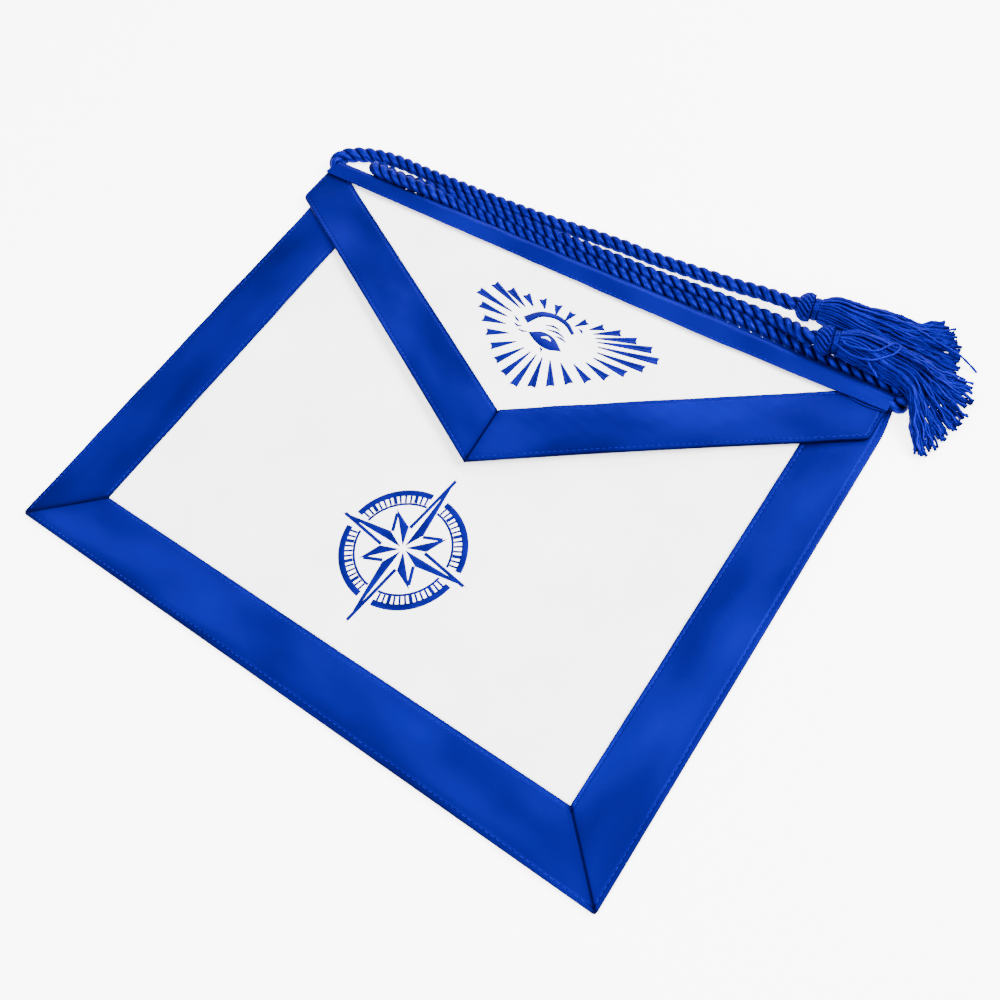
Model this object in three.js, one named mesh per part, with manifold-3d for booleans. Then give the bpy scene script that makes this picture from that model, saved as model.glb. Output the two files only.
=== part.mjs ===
// A ceremonial apron lying flat, in millimetres, +Z up: a white cloth panel bordered with satin ribbon,
// a pointed flap bordered the same way, a waistband casing, and the twisted cord that runs through the
// casing and ends in two tassels. X runs along the hem and Y from the hem to the waist.
import * as THREE from 'three';
import { mergeVertices } from 'three/addons/utils/BufferGeometryUtils.js';
import Module from 'manifold-3d';

const wasm = await Module();
wasm.setup();

// Body of the apron
const apronWidth = 406.4;
const seamHeight = 312.7; // from the hem to the waist seam, in the middle
const seamTilt = 1.6; // degrees that the waist lies turned, higher on the right
const clothThickness = 1.5;
const ribbonThickness = 1.0;
const leftBorder = 39.5;
const rightBorder = 37.0;
const hemBorder = 36.0;
const layGap = 0.3; // between pieces that lie on or beside each other

// Flap, hanging from the waist seam
const flapDrop = 147.3; // from the seam to the tip
const tipShift = 9.4; // the tip lies right of the middle
const flapOverhang = 7.8; // past the left side
const flapSetback = 5.2; // short of the right side
const leftEndLength = 25.5; // the flap's short upright ends
const rightEndLength = 21.7;
const flapBorder = 33.2;
const flapThickness = 1.2;
const flapRibbonThickness = 0.8;
const cornerRadius = 3;
const seamRise = 0.6; // the flap's height over its seat, at the middle of the seam
const bellyRise = 2.2; // halfway down
const tipRise = 2.0; // and at the tip

// Cord and its casing
const cordDiameter = 7.5;
const casingClearance = 0.3; // round the cord
const casingWall = 1.0;
const casingReach = 7.0; // from the seam to the cord's middle
const lipReach = 3.3; // the casing's sewn lip lies this far over the flap
const lipClearance = 0.9; // over the flap's ribbons, which bow up a little
const casingOverhang = 6.6; // past the left side
const casingSetback = 4.7; // short of the right side
const mouthSlant = 0.75; // the left mouth is cut slanting, so that the cord can turn back

// Tassels
const headRadius = 9.0;
const headLength = 9.4;
const headRibs = 12;
const ribDepth = 0.07; // as a share of headRadius
const neckRadius = 7.0;
const neckLength = 3.8;
const skirtLength = 84.0;
const skirtRadius = 9.5; // just past the neck
const lockRadius = 4.2;
const lockWidth = 1.1; // a lock's half width and half height, as shares of lockRadius
const lockDepth = 0.85;

// The casing along the waist, as shares of its length, of casingReach and of lipReach
const casingTable = [
  { along: 0.0, reach: 0.94, lip: 0.3 },
  { along: 0.15, reach: 0.93, lip: 0.52 },
  { along: 0.35, reach: 0.95, lip: 0.68 },
  { along: 0.55, reach: 1.02, lip: 0.88 },
  { along: 0.75, reach: 1.08, lip: 1.0 },
  { along: 0.9, reach: 0.95, lip: 0.76 },
  { along: 1.0, reach: 0.86, lip: 0.45 },
];

// A tassel head's outline along its axis, as shares of its length and radius
const headTable = [
  { along: 0.0, radius: 0.46 },
  { along: 0.1, radius: 0.74 },
  { along: 0.3, radius: 0.95 },
  { along: 0.52, radius: 1.0 },
  { along: 0.75, radius: 0.93 },
  { along: 1.0, radius: 0.7 },
];

// A tassel's neck, in the same way
const neckTable = [
  { along: 0.0, radius: 0.86 },
  { along: 0.25, radius: 1.0 },
  { along: 0.75, radius: 1.0 },
  { along: 1.0, radius: 0.86 },
];

// The core of a tassel's skirt: place along it as a share of skirtLength, turn from the head's axis
// in degrees, height as a share of headRadius, half width and half height as shares of skirtRadius
const leftCoreTable = [
  { along: 0.0, turn: 0, height: 1.03, width: 0.68, depth: 0.68 },
  { along: 0.03, turn: 0, height: 1.03, width: 0.8, depth: 0.8 },
  { along: 0.1, turn: 1, height: 1.08, width: 0.96, depth: 0.96 },
  { along: 0.3, turn: 0, height: 0.88, width: 1.05, depth: 0.78 },
  { along: 0.55, turn: 0, height: 0.64, width: 1.25, depth: 0.52 },
  { along: 0.8, turn: 3, height: 0.44, width: 1.5, depth: 0.33 },
];
const rightCoreTable = [
  { along: 0.0, turn: 0, height: 1.9, width: 0.68, depth: 0.68 },
  { along: 0.03, turn: 0, height: 1.9, width: 0.8, depth: 0.8 },
  { along: 0.1, turn: -3, height: 1.9, width: 0.96, depth: 0.9 },
  { along: 0.3, turn: -8, height: 1.72, width: 1.25, depth: 0.66 },
  { along: 0.5, turn: -12, height: 1.54, width: 1.45, depth: 0.5 },
  { along: 0.64, turn: -15, height: 1.34, width: 1.6, depth: 0.42 },
  { along: 0.8, turn: -18, height: 0.62, width: 1.75, depth: 0.4 },
];

// The locks of a skirt: turns in degrees from the head's axis halfway and at the tip, the reach of the
// tip as a share of skirtLength, and the height halfway as a share of headRadius
const leftLockTable = [
  { middle: 9, tip: 16, reach: 0.83, height: 0.5 },
  { middle: 8, tip: 11, reach: 0.91, height: 0.72 },
  { middle: 5, tip: 6, reach: 0.95, height: 0.86 },
  { middle: 1, tip: 0, reach: 0.98, height: 0.93 },
  { middle: -5, tip: -6, reach: 1.0, height: 0.9 },
  { middle: -11, tip: -12, reach: 0.95, height: 0.76 },
];
const rightLockTable = [
  { middle: -22, tip: -42, reach: 0.9, height: 1.62 },
  { middle: -19, tip: -35, reach: 0.93, height: 1.64 },
  { middle: -16, tip: -28, reach: 0.92, height: 1.64 },
  { middle: -12, tip: -21, reach: 0.92, height: 1.68 },
  { middle: -7, tip: -14, reach: 0.94, height: 1.68 },
  { middle: -2, tip: -7, reach: 0.92, height: 1.62 },
  { middle: 4, tip: 0, reach: 0.92, height: 1.5 },
];

// The way of each lock: place as a share of skirtLength, how far it follows the lock's reach, how much
// of its turn is the tip's, how much of the middle's turn it has, and its height between the neck's
// middle and the lock's middle height
const lockWay = [
  { along: 0.07, byReach: 0, byTip: 0, turn: 0.5, lowered: 0, height: 1 },
  { along: 0.28, byReach: 0, byTip: 0, turn: 1, lowered: 0.6, height: 1 },
  { along: 0.52, byReach: 0, byTip: 0, turn: 1, lowered: 1, height: 1 },
  { along: 0.76, byReach: 1, byTip: 0.62, turn: 1, lowered: 1, height: 0.62 },
];
// A lock's thickness along it, as a share of lockRadius
const swellTable = [
  { along: 0.0, swell: 0.82 },
  { along: 0.17, swell: 0.99 },
  { along: 0.33, swell: 1.05 },
  { along: 0.5, swell: 0.97 },
  { along: 0.67, swell: 0.78 },
  { along: 0.83, swell: 0.58 },
  { along: 1.0, swell: 0.55 },
];

// The cord's route, chosen by hand: out of the left mouth, round, and along to the left tassel
const leftRoute = [
  [-200.5, 313.6, 5.1], [-205.2, 313.9, 5.1], [-209.6, 316.0, 4.9], [-211.2, 320.0, 4.7],
  [-210.0, 324.7, 4.5], [-205.9, 328.8, 4.3], [-199.5, 333.0, 4.1], [-187.0, 338.0, 4.0],
  [-171.2, 341.2, 4.0], [-154.6, 341.9, 4.0], [-120.4, 342.6, 4.0], [-86.8, 342.7, 4.0],
  [-55.7, 344.2, 4.0], [-26.4, 347.2, 4.0], [2.5, 349.8, 4.0], [31.2, 351.3, 4.0],
  [58.2, 354.2, 4.0], [84.5, 357.0, 4.3], [100.0, 358.4, 5.8], [111.0, 357.6, 8.1],
  [118.0, 357.3, 9.2], [121.4, 357.9, 9.3],
];
// Out of the right mouth, back along the waist, round at the left, and along to the right tassel
const rightRoute = [
  [193.5, 324.2, 5.1], [198.8, 324.5, 5.1], [203.2, 326.2, 5.0], [204.9, 329.8, 4.7],
  [202.4, 333.4, 4.4], [196.5, 334.3, 4.2], [187.0, 333.9, 4.1], [169.0, 333.7, 4.1],
  [150.0, 334.0, 4.1], [123.3, 335.0, 4.1], [96.6, 335.1, 4.1], [69.8, 333.7, 4.1],
  [42.6, 331.9, 4.1], [14.1, 330.9, 4.1], [-14.9, 329.4, 4.1], [-45.0, 328.0, 4.1],
  [-76.0, 326.8, 4.1], [-106.0, 325.9, 5.0], [-138.0, 323.3, 10.2], [-160.0, 322.6, 10.7],
  [-171.0, 322.5, 10.9], [-177.3, 323.9, 10.2], [-179.7, 326.6, 7.6], [-177.3, 329.2, 4.9],
  [-171.0, 329.4, 4.1], [-160.0, 329.2, 4.0], [-138.0, 330.9, 4.0], [-110.0, 333.9, 4.0],
  [-81.0, 334.8, 4.0], [-49.5, 335.9, 4.0], [-19.4, 337.2, 4.0], [9.4, 338.7, 4.0],
  [38.2, 339.7, 4.0], [64.8, 341.8, 4.1], [91.9, 343.1, 4.6], [108.0, 342.9, 6.2],
  [122.0, 341.0, 9.6], [132.0, 337.3, 14.2], [139.4, 334.2, 16.9], [143.2, 335.1, 17.1],
];
// Stretches of each route, as shares of its length: the tight turns take more steps
const leftStretches = [
  { name: 'cord_left_turn', from: 0, to: 0.1, steps: 8 },
  { name: 'cord_left_run', from: 0.1, to: 1, steps: 17 },
];
const rightStretches = [
  { name: 'cord_right_turn', from: 0, to: 0.035, steps: 7 },
  { name: 'cord_right_back', from: 0.035, to: 0.505, steps: 19 },
  { name: 'cord_right_fold', from: 0.505, to: 0.545, steps: 8 },
  { name: 'cord_right_run', from: 0.545, to: 1, steps: 18 },
];
const cordSides = 10;
const hiddenCordSteps = 12;

// Turns of the tassel heads from +X, in degrees
const leftTasselTurn = 10;
const rightTasselTurn = 14;

// Mesh settings
const stationsAcross = 14;
const flapRows = 5;
const casingStations = 14;
const casingFacets = 18;
const headSides = 36;
const neckSides = 20;
const coreSides = 16;
const lockSides = 7;
const innerBend = 0.3; // where a flap ribbon's inner edge starts to follow the seam

const halfWidth = apronWidth / 2;
const slope = Math.tan(THREE.MathUtils.degToRad(seamTilt));
const casingRadius = cordDiameter / 2 + casingClearance + casingWall;
const casingLeft = -halfWidth - casingOverhang;
const casingRight = halfWidth - casingSetback;
const flapLeft = -halfWidth - flapOverhang;
const flapRight = halfWidth - flapSetback;
const ribbonSeat = clothThickness + layGap;
const flapSeat = ribbonSeat + ribbonThickness + layGap;
const lipHeight = flapSeat + flapThickness + layGap + flapRibbonThickness + lipClearance;
const edgeInset = ribbonThickness + layGap;
const flapInset = flapRibbonThickness + layGap;

const seam = (x) => seamHeight + slope * x;
const mix = THREE.MathUtils.lerp;

// Reads a column of a table at a place, with straight lines between its rows
function tableAt(table, column, along) {
  const row = table.findIndex((entry) => entry.along >= along);
  if (row <= 0) return table[row === 0 ? 0 : table.length - 1][column];
  const before = table[row - 1];
  const after = table[row];
  const share = (along - before.along) / (after.along - before.along);
  return mix(before[column], after[column], share);
}

const casingMiddle = (x) =>
  casingReach * tableAt(casingTable, 'reach', (x - casingLeft) / (casingRight - casingLeft));
// The cloth ends just in front of the casing's round part
const clothTop = (x) => seam(x) + casingMiddle(x) - casingRadius - layGap;

// A closed body from lists of corners and faces
function bodyFrom(points, faces) {
  const geometry = new THREE.BufferGeometry().setFromPoints(points);
  geometry.setIndex(faces.flat());
  const flat = geometry.toNonIndexed();
  flat.computeVertexNormals();
  return flat;
}

// A sheet over a grid: place(i, j) gives a point of its underside, and it is as thick everywhere
function sheet(columns, rows, place, thickness) {
  const under = [];
  for (let i = 0; i <= columns; i += 1) {
    for (let j = 0; j <= rows; j += 1) under.push(place(i, j));
  }
  const lift = new THREE.Vector3(0, 0, thickness);
  const points = [...under, ...under.map((point) => point.clone().add(lift))];
  const at = (i, j, top) => i * (rows + 1) + j + (top ? under.length : 0);
  const faces = [];
  const quad = (a, b, c, d) => faces.push([a, b, c], [a, c, d]);
  for (let i = 0; i < columns; i += 1) {
    for (let j = 0; j < rows; j += 1) {
      quad(at(i, j, 1), at(i + 1, j, 1), at(i + 1, j + 1, 1), at(i, j + 1, 1));
      quad(at(i, j, 0), at(i, j + 1, 0), at(i + 1, j + 1, 0), at(i + 1, j, 0));
    }
    quad(at(i, 0, 0), at(i + 1, 0, 0), at(i + 1, 0, 1), at(i, 0, 1));
    quad(at(i + 1, rows, 0), at(i, rows, 0), at(i, rows, 1), at(i + 1, rows, 1));
  }
  for (let j = 0; j < rows; j += 1) {
    quad(at(0, j + 1, 0), at(0, j, 0), at(0, j, 1), at(0, j + 1, 1));
    quad(at(columns, j, 0), at(columns, j + 1, 0), at(columns, j + 1, 1), at(columns, j, 1));
  }
  return bodyFrom(points, faces);
}

// Joins rings of points one after another; outline gives a ring's shape for its two flat ends, and
// hole the number of points at each ring's end that are its inner wall
function loft(rings, outline, hole = 0) {
  const size = rings[0].length;
  const outer = size - hole;
  const faces = [];
  const wall = (from, count, k) => {
    for (let i = 0; i < count; i += 1) {
      const here = k * size + from + i;
      const next = k * size + from + ((i + 1) % count);
      faces.push([here, next, next + size], [here, next + size, here + size]);
    }
  };
  for (let k = 0; k < rings.length - 1; k += 1) {
    wall(0, outer, k);
    if (hole) wall(outer, hole, k);
  }
  const holes = hole ? [outline.slice(outer)] : [];
  const end = (rings.length - 1) * size;
  for (const [a, b, c] of THREE.ShapeUtils.triangulateShape(outline.slice(0, outer), holes)) {
    faces.push([a, c, b], [a + end, b + end, c + end]);
  }
  return bodyFrom(rings.flat(), faces);
}

// The corners of a ribbon's section, from its outer edge inwards: it lies on the cloth and is turned
// down over the cloth's edge
function ribbonSection(width, seat, thickness) {
  return [
    [width, seat], [width, seat + thickness], [0, seat + thickness],
    [0, 0], [thickness, 0], [thickness, seat],
  ];
}

// A ribbon between an outer and an inner line of the same number of places; lift gives the height of
// the cloth's underside
function ribbon(outerLine, innerLine, seat, thickness, lift) {
  const rings = outerLine.map((outer, k) => {
    const across = innerLine[k].clone().sub(outer);
    const width = across.length();
    across.normalize();
    return ribbonSection(width, seat, thickness).map(([inwards, height]) => {
      const place = outer.clone().addScaledVector(across, inwards);
      return new THREE.Vector3(place.x, place.y, lift(place.x, place.y) + height);
    });
  });
  const outline = ribbonSection(leftBorder, seat, thickness).map(
    ([inwards, height]) => new THREE.Vector2(inwards, height),
  );
  return loft(rings, outline);
}

// Places from one point to another, as many as the steps and one
function line(from, to, steps) {
  const places = [];
  for (let k = 0; k <= steps; k += 1) places.push(from.clone().lerp(to, k / steps));
  return places;
}

const flat2 = (x, y) => new THREE.Vector2(x, y);

function makePanel() {
  const left = -halfWidth + edgeInset;
  const right = halfWidth - edgeInset;
  const place = (i, j) => {
    const x = mix(left, right, i / stationsAcross);
    const y = j === 0 ? edgeInset : clothTop(x);
    return new THREE.Vector3(x, y, 0);
  };
  return sheet(stationsAcross, 1, place, clothThickness);
}

// Hem and side ribbons meet in a slanting seam at each lower corner
const mitreShift = layGap / Math.SQRT2;
const hemCorners = {
  left: flat2(-halfWidth, 0),
  right: flat2(halfWidth, 0),
  innerLeft: flat2(-halfWidth + leftBorder, hemBorder),
  innerRight: flat2(halfWidth - rightBorder, hemBorder),
};

function makeHemRibbon() {
  const shift = flat2(mitreShift, 0);
  const outer = line(hemCorners.left.clone().add(shift), hemCorners.right.clone().sub(shift), 1);
  const innerLeft = hemCorners.innerLeft.clone().add(shift);
  const innerRight = hemCorners.innerRight.clone().sub(shift);
  return ribbon(outer, line(innerLeft, innerRight, 1), ribbonSeat, ribbonThickness, () => 0);
}

function makeSideRibbon(side, outerX, innerX) {
  const shift = flat2(0, mitreShift);
  const [corner, innerCorner] = side < 0
    ? [hemCorners.left, hemCorners.innerLeft]
    : [hemCorners.right, hemCorners.innerRight];
  const outer = line(corner.clone().add(shift), flat2(outerX, clothTop(outerX)), 1);
  const inner = line(innerCorner.clone().add(shift), flat2(innerX, clothTop(innerX)), 1);
  if (side < 0) {
    outer.reverse();
    inner.reverse();
  }
  return ribbon(outer, inner, ribbonSeat, ribbonThickness, () => 0);
}

// The flap's outline: tip, corners where its slanting edges meet its short ends, and those ends' tops
const tip = flat2(tipShift, seam(tipShift) - flapDrop);
const leftCorner = flat2(flapLeft, seam(flapLeft) - leftEndLength);
const rightCorner = flat2(flapRight, seam(flapRight) - rightEndLength);

// Height of the slanting edges over a place along X
function flapEdge(x) {
  const corner = x < tip.x ? leftCorner : rightCorner;
  return mix(tip.y, corner.y, (x - tip.x) / (corner.x - tip.x));
}

// The flap's underside rests on the side ribbons and rises towards its middle and its tip
function flapLift(x, y) {
  const corner = x < tip.x ? leftCorner : rightCorner;
  const outwards = Math.min(Math.abs((x - tip.x) / (corner.x - tip.x)), 1);
  const down = THREE.MathUtils.clamp((seam(x) - y) / flapDrop, 0, 1);
  const middle = 1 - outwards * outwards;
  const belly = Math.sin(Math.PI * down) * middle;
  return flapSeat + seamRise * middle * (1 - down) + bellyRise * belly + tipRise * down * down;
}

function makeFlapPanel() {
  const left = flapLeft + cornerRadius;
  const right = flapRight - cornerRadius;
  const half = stationsAcross / 2;
  const steepest = Math.atan2(rightCorner.y - tip.y, rightCorner.x - tip.x);
  const inset = flapInset / Math.cos(steepest);
  const place = (i, j) => {
    const x = i < half ? mix(left, tip.x, i / half) : mix(tip.x, right, (i - half) / half);
    const y = mix(flapEdge(x) + inset, clothTop(x), j / flapRows);
    return new THREE.Vector3(x, y, flapLift(x, y));
  };
  return sheet(stationsAcross, flapRows, place, flapThickness);
}

// The inner edges of the two flap ribbons meet at innerTip
function flapRibbonPlan(corner) {
  const along = corner.clone().sub(tip).normalize();
  const sideways = flat2(-along.y, along.x).multiplyScalar(Math.sign(corner.x - tip.x));
  return { along, sideways };
}
const leftPlan = flapRibbonPlan(leftCorner);
const rightPlan = flapRibbonPlan(rightCorner);
const halfAngle = leftPlan.along.angleTo(rightPlan.along) / 2;
const mitreAlong = leftPlan.along.clone().add(rightPlan.along).normalize();
const innerTip = tip.clone().addScaledVector(mitreAlong, flapBorder / Math.sin(halfAngle));

function makeFlapRibbon(corner, plan) {
  const side = Math.sign(corner.x - tip.x);
  const shift = layGap / 2 / Math.sin(halfAngle);
  const start = tip.clone().addScaledVector(plan.along, shift);
  const innerStart = innerTip.clone().addScaledVector(plan.along, shift);
  const seamAngle = flat2(1, slope).normalize().multiplyScalar(side);
  const reach = (clothTop(innerStart.x) - innerStart.y) / (plan.along.y - plan.along.x * slope);
  const innerEnd = innerStart.clone().addScaledVector(plan.along, reach - cornerRadius);
  const innerLast = innerEnd.clone().addScaledVector(seamAngle, cornerRadius);
  innerLast.y = clothTop(innerLast.x);
  const beforeCorner = corner.clone().addScaledVector(plan.along, -cornerRadius);
  const afterCorner = flat2(corner.x, corner.y + cornerRadius);
  const top = flat2(corner.x, clothTop(corner.x));
  const outer = [...line(start, beforeCorner, flapRows * 2), ...line(afterCorner, top, 2)];
  const inner = [
    ...line(innerStart, innerEnd, flapRows * 2),
    ...line(innerEnd.clone().lerp(innerLast, innerBend), innerLast, 2),
  ];
  if (side < 0) {
    outer.reverse();
    inner.reverse();
  }
  return ribbon(outer, inner, flapThickness + layGap, flapRibbonThickness, flapLift);
}

// The casing is a fold of ribbon round the cord, with a flat lip that is sewn to the flap
function casingSection(reach, lip) {
  const middle = flat2(reach, casingRadius);
  const lipTop = flat2(-lip, lipHeight + casingWall);
  const toLip = lipTop.clone().sub(middle);
  const top = toLip.angle() - Math.acos(casingRadius / toLip.length());
  const bottom = Math.asin((lipHeight - casingRadius) / casingRadius) + Math.PI;
  const section = [lipTop, flat2(-lip, lipHeight)];
  for (let k = casingFacets; k >= 0; k -= 1) {
    const angle = mix(top, -bottom, k / casingFacets);
    section.push(flat2(Math.cos(angle), Math.sin(angle)).multiplyScalar(casingRadius).add(middle));
  }
  for (let k = 0; k < casingFacets; k += 1) {
    const angle = (-2 * Math.PI * k) / casingFacets;
    const inner = flat2(Math.cos(angle), Math.sin(angle));
    section.push(inner.multiplyScalar(casingRadius - casingWall).add(middle));
  }
  return section;
}

function makeCasing() {
  const rings = [];
  for (let k = 0; k <= casingStations; k += 1) {
    const along = k / casingStations;
    const reach = casingReach * tableAt(casingTable, 'reach', along);
    const lip = lipReach * tableAt(casingTable, 'lip', along);
    rings.push(casingSection(reach, lip).map((corner) => {
      const start = casingLeft + mouthSlant * Math.max(corner.x, 0);
      const x = mix(start, casingRight, along);
      return new THREE.Vector3(x, seam(x) + corner.x, corner.y);
    }));
  }
  return loft(rings, casingSection(casingReach, lipReach), casingFacets);
}

// A stretch of a route, between two shares of its length
class Stretch extends THREE.Curve {
  constructor(route, from, to) {
    super();
    this.route = route;
    this.from = from;
    this.to = to;
  }

  getPoint(share, target = new THREE.Vector3()) {
    return this.route.getPointAt(mix(this.from, this.to, share), target);
  }
}

const cordShape = new THREE.Shape();
cordShape.absarc(0, 0, cordDiameter / 2, 0, 2 * Math.PI);

function cordTube(path, steps) {
  return new THREE.ExtrudeGeometry(cordShape, {
    extrudePath: path, steps, curveSegments: cordSides / 2,
  });
}

const curveOf = (route) =>
  new THREE.CatmullRomCurve3(route.map((point) => new THREE.Vector3(...point)), false, 'centripetal');

function addCord(group, route, stretches) {
  const curve = curveOf(route);
  const gap = layGap / curve.getLength();
  for (const { name, from, to, steps } of stretches) {
    const start = from > 0 ? from + gap / 2 : 0;
    const end = to < 1 ? to - gap / 2 : 1;
    add(group, name, cordTube(new Stretch(curve, start, end), steps), cordSatin);
  }
}

// The hidden stretch in the casing runs from one route's start to the other's
function makeHiddenCord() {
  const left = new THREE.Vector3(...leftRoute[0]);
  const right = new THREE.Vector3(...rightRoute[0]);
  const along = right.clone().sub(left).normalize().multiplyScalar(2 * layGap);
  const points = [left.add(along)];
  for (const { along: share } of casingTable.slice(1, -1)) {
    const x = mix(casingLeft, casingRight, share);
    points.push(new THREE.Vector3(x, seam(x) + casingMiddle(x), casingRadius));
  }
  points.push(right.sub(along));
  return cordTube(new THREE.CatmullRomCurve3(points, false, 'centripetal'), hiddenCordSteps);
}

// Joins closed bodies into one
function fuse(geometries) {
  const solids = geometries.map((geometry) => {
    const bare = geometry.clone();
    bare.deleteAttribute('normal');
    bare.deleteAttribute('uv');
    const merged = mergeVertices(bare, 1e-4);
    return new wasm.Manifold(new wasm.Mesh({
      numProp: 3,
      vertProperties: new Float32Array(merged.attributes.position.array),
      triVerts: new Uint32Array(merged.index.array),
    }));
  });
  const mesh = solids.reduce((joined, solid) => joined.add(solid)).getMesh();
  const result = new THREE.BufferGeometry();
  result.setAttribute('position', new THREE.BufferAttribute(mesh.vertProperties, 3));
  result.setIndex(new THREE.BufferAttribute(mesh.triVerts, 1));
  const flat = result.toNonIndexed();
  flat.computeVertexNormals();
  return flat;
}

// A ring round a place: across is level, and up is mostly +Z
function ringAt(place, along, width, height, sides) {
  const across = new THREE.Vector3(-along.y, along.x, 0).normalize();
  const up = new THREE.Vector3().crossVectors(along, across).normalize();
  const ring = [];
  for (let k = 0; k < sides; k += 1) {
    const angle = (2 * Math.PI * k) / sides;
    ring.push(place.clone()
      .addScaledVector(across, width * Math.cos(angle))
      .addScaledVector(up, height * Math.sin(angle)));
  }
  return ring;
}

function circleOutline(sides) {
  const outline = [];
  for (let k = 0; k < sides; k += 1) {
    const angle = (2 * Math.PI * k) / sides;
    outline.push(flat2(Math.cos(angle), Math.sin(angle)));
  }
  return outline;
}

// A blob along places, each with its half width and half height
function blob(places, sides) {
  const rings = places.map(({ point, width, height }, k) => {
    const before = places[Math.max(k - 1, 0)].point;
    const after = places[Math.min(k + 1, places.length - 1)].point;
    const along = after.clone().sub(before).normalize();
    return ringAt(point, along, width, height, sides);
  });
  return loft(rings, circleOutline(sides));
}

const flatDirection = (degrees) => {
  const angle = THREE.MathUtils.degToRad(degrees);
  return new THREE.Vector3(Math.cos(angle), Math.sin(angle), 0);
};

// A ribbed head, wound with cord
function makeHead(start, turn) {
  const along = flatDirection(turn);
  const rings = headTable.map((row) => {
    const place = start.clone().addScaledVector(along, row.along * headLength);
    const ring = ringAt(place, along, 1, 1, headSides);
    return ring.map((point, k) => {
      const rib = Math.cos((2 * Math.PI * k * headRibs) / headSides);
      const radius = headRadius * row.radius * (1 - (ribDepth / 2) * (1 - rib));
      return place.clone().addScaledVector(point.sub(place), radius);
    });
  });
  return loft(rings, circleOutline(headSides));
}

function makeNeck(start, turn) {
  const along = flatDirection(turn);
  const places = neckTable.map((row) => ({
    point: start.clone().addScaledVector(along, row.along * neckLength),
    width: neckRadius * row.radius,
    height: neckRadius * row.radius,
  }));
  return blob(places, neckSides);
}

// A skirt of yarn: locks fused to a core that spreads and flattens towards the tips
function makeSkirt(start, turn, coreTable, lockTable) {
  const reachTo = (degrees, reach, height) => {
    const place = start.clone().addScaledVector(flatDirection(turn + degrees), reach * skirtLength);
    place.z = height;
    return place;
  };
  const core = blob(coreTable.map((row) => ({
    point: reachTo(row.turn, row.along, row.height * headRadius),
    width: row.width * skirtRadius,
    height: row.depth * skirtRadius,
  })), coreSides);
  const locks = lockTable.map((row) => {
    const points = lockWay.map((step) => reachTo(
      mix(row.middle * step.turn, row.tip, step.byTip),
      step.along * mix(1, row.reach, step.byReach),
      mix(start.z, row.height * headRadius, step.lowered) * step.height,
    ));
    points.push(reachTo(row.tip, row.reach, lockRadius));
    const curve = new THREE.CatmullRomCurve3(points, false, 'centripetal');
    const places = swellTable.map(({ along, swell }) => ({
      point: curve.getPoint(along),
      width: swell * lockRadius * lockWidth,
      height: swell * lockRadius * lockDepth,
    }));
    return blob(places, lockSides);
  });
  return fuse([core, ...locks]);
}

// Materials
const whiteCloth = { color: 0xf0f1f3, roughness: 0.75, metalness: 0 };
const satin = { color: 0x0530c0, roughness: 0.42, metalness: 0 };
const cordSatin = { color: 0x0638c8, roughness: 0.5, metalness: 0 };
const yarn = { color: 0x0536cc, roughness: 0.6, metalness: 0 };

function add(group, name, geometry, finish) {
  const mesh = new THREE.Mesh(geometry, new THREE.MeshStandardMaterial(finish));
  mesh.name = name;
  group.add(mesh);
}

// A tassel stands in line with the end of its cord's route
function addTassel(group, name, route, turn, coreTable, lockTable) {
  const along = flatDirection(turn);
  const head = new THREE.Vector3(...route[route.length - 1]).addScaledVector(along, layGap);
  const neck = head.clone().addScaledVector(along, headLength + layGap);
  const skirt = neck.clone().addScaledVector(along, neckLength + layGap);
  add(group, `${name}_head`, makeHead(head, turn), cordSatin);
  add(group, `${name}_neck`, makeNeck(neck, turn), cordSatin);
  add(group, `${name}_skirt`, makeSkirt(skirt, turn, coreTable, lockTable), yarn);
}

const cloth = new THREE.Group();
add(cloth, 'apron_panel', makePanel(), whiteCloth);
add(cloth, 'hem_band', makeHemRibbon(), satin);
add(cloth, 'side_band_left', makeSideRibbon(-1, -halfWidth, -halfWidth + leftBorder), satin);
add(cloth, 'side_band_right', makeSideRibbon(1, halfWidth, halfWidth - rightBorder), satin);
add(cloth, 'flap_panel', makeFlapPanel(), whiteCloth);
add(cloth, 'flap_band_left', makeFlapRibbon(leftCorner, leftPlan), satin);
add(cloth, 'flap_band_right', makeFlapRibbon(rightCorner, rightPlan), satin);
add(cloth, 'waistband', makeCasing(), satin);
add(cloth, 'cord_inside', makeHiddenCord(), cordSatin);

const cords = new THREE.Group();
addCord(cords, leftRoute, leftStretches);
addCord(cords, rightRoute, rightStretches);
addTassel(cords, 'tassel_left', leftRoute, leftTasselTurn, leftCoreTable, leftLockTable);
addTassel(cords, 'tassel_right', rightRoute, rightTasselTurn, rightCoreTable, rightLockTable);

// The part's origin is under the middle of the cloth's box
const apron = new THREE.Group();
apron.add(cloth, cords);
const box = new THREE.Box3().setFromObject(cloth, true);
const middle = box.getCenter(new THREE.Vector3());
cloth.position.set(-middle.x, -middle.y, 0);
cords.position.copy(cloth.position);

export default apron;
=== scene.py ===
"""A ceremonial apron lying flat: white cloth bordered with satin ribbon, a pointed flap, a waistband casing,
and the twisted cord that runs through the casing and ends in two tassels. All sizes are in metres.
The construction is drawn in a lay frame, with x from the apron's middle and y from its hem."""

import math

import bpy
import numpy as np
from mathutils import Matrix, Vector


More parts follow.
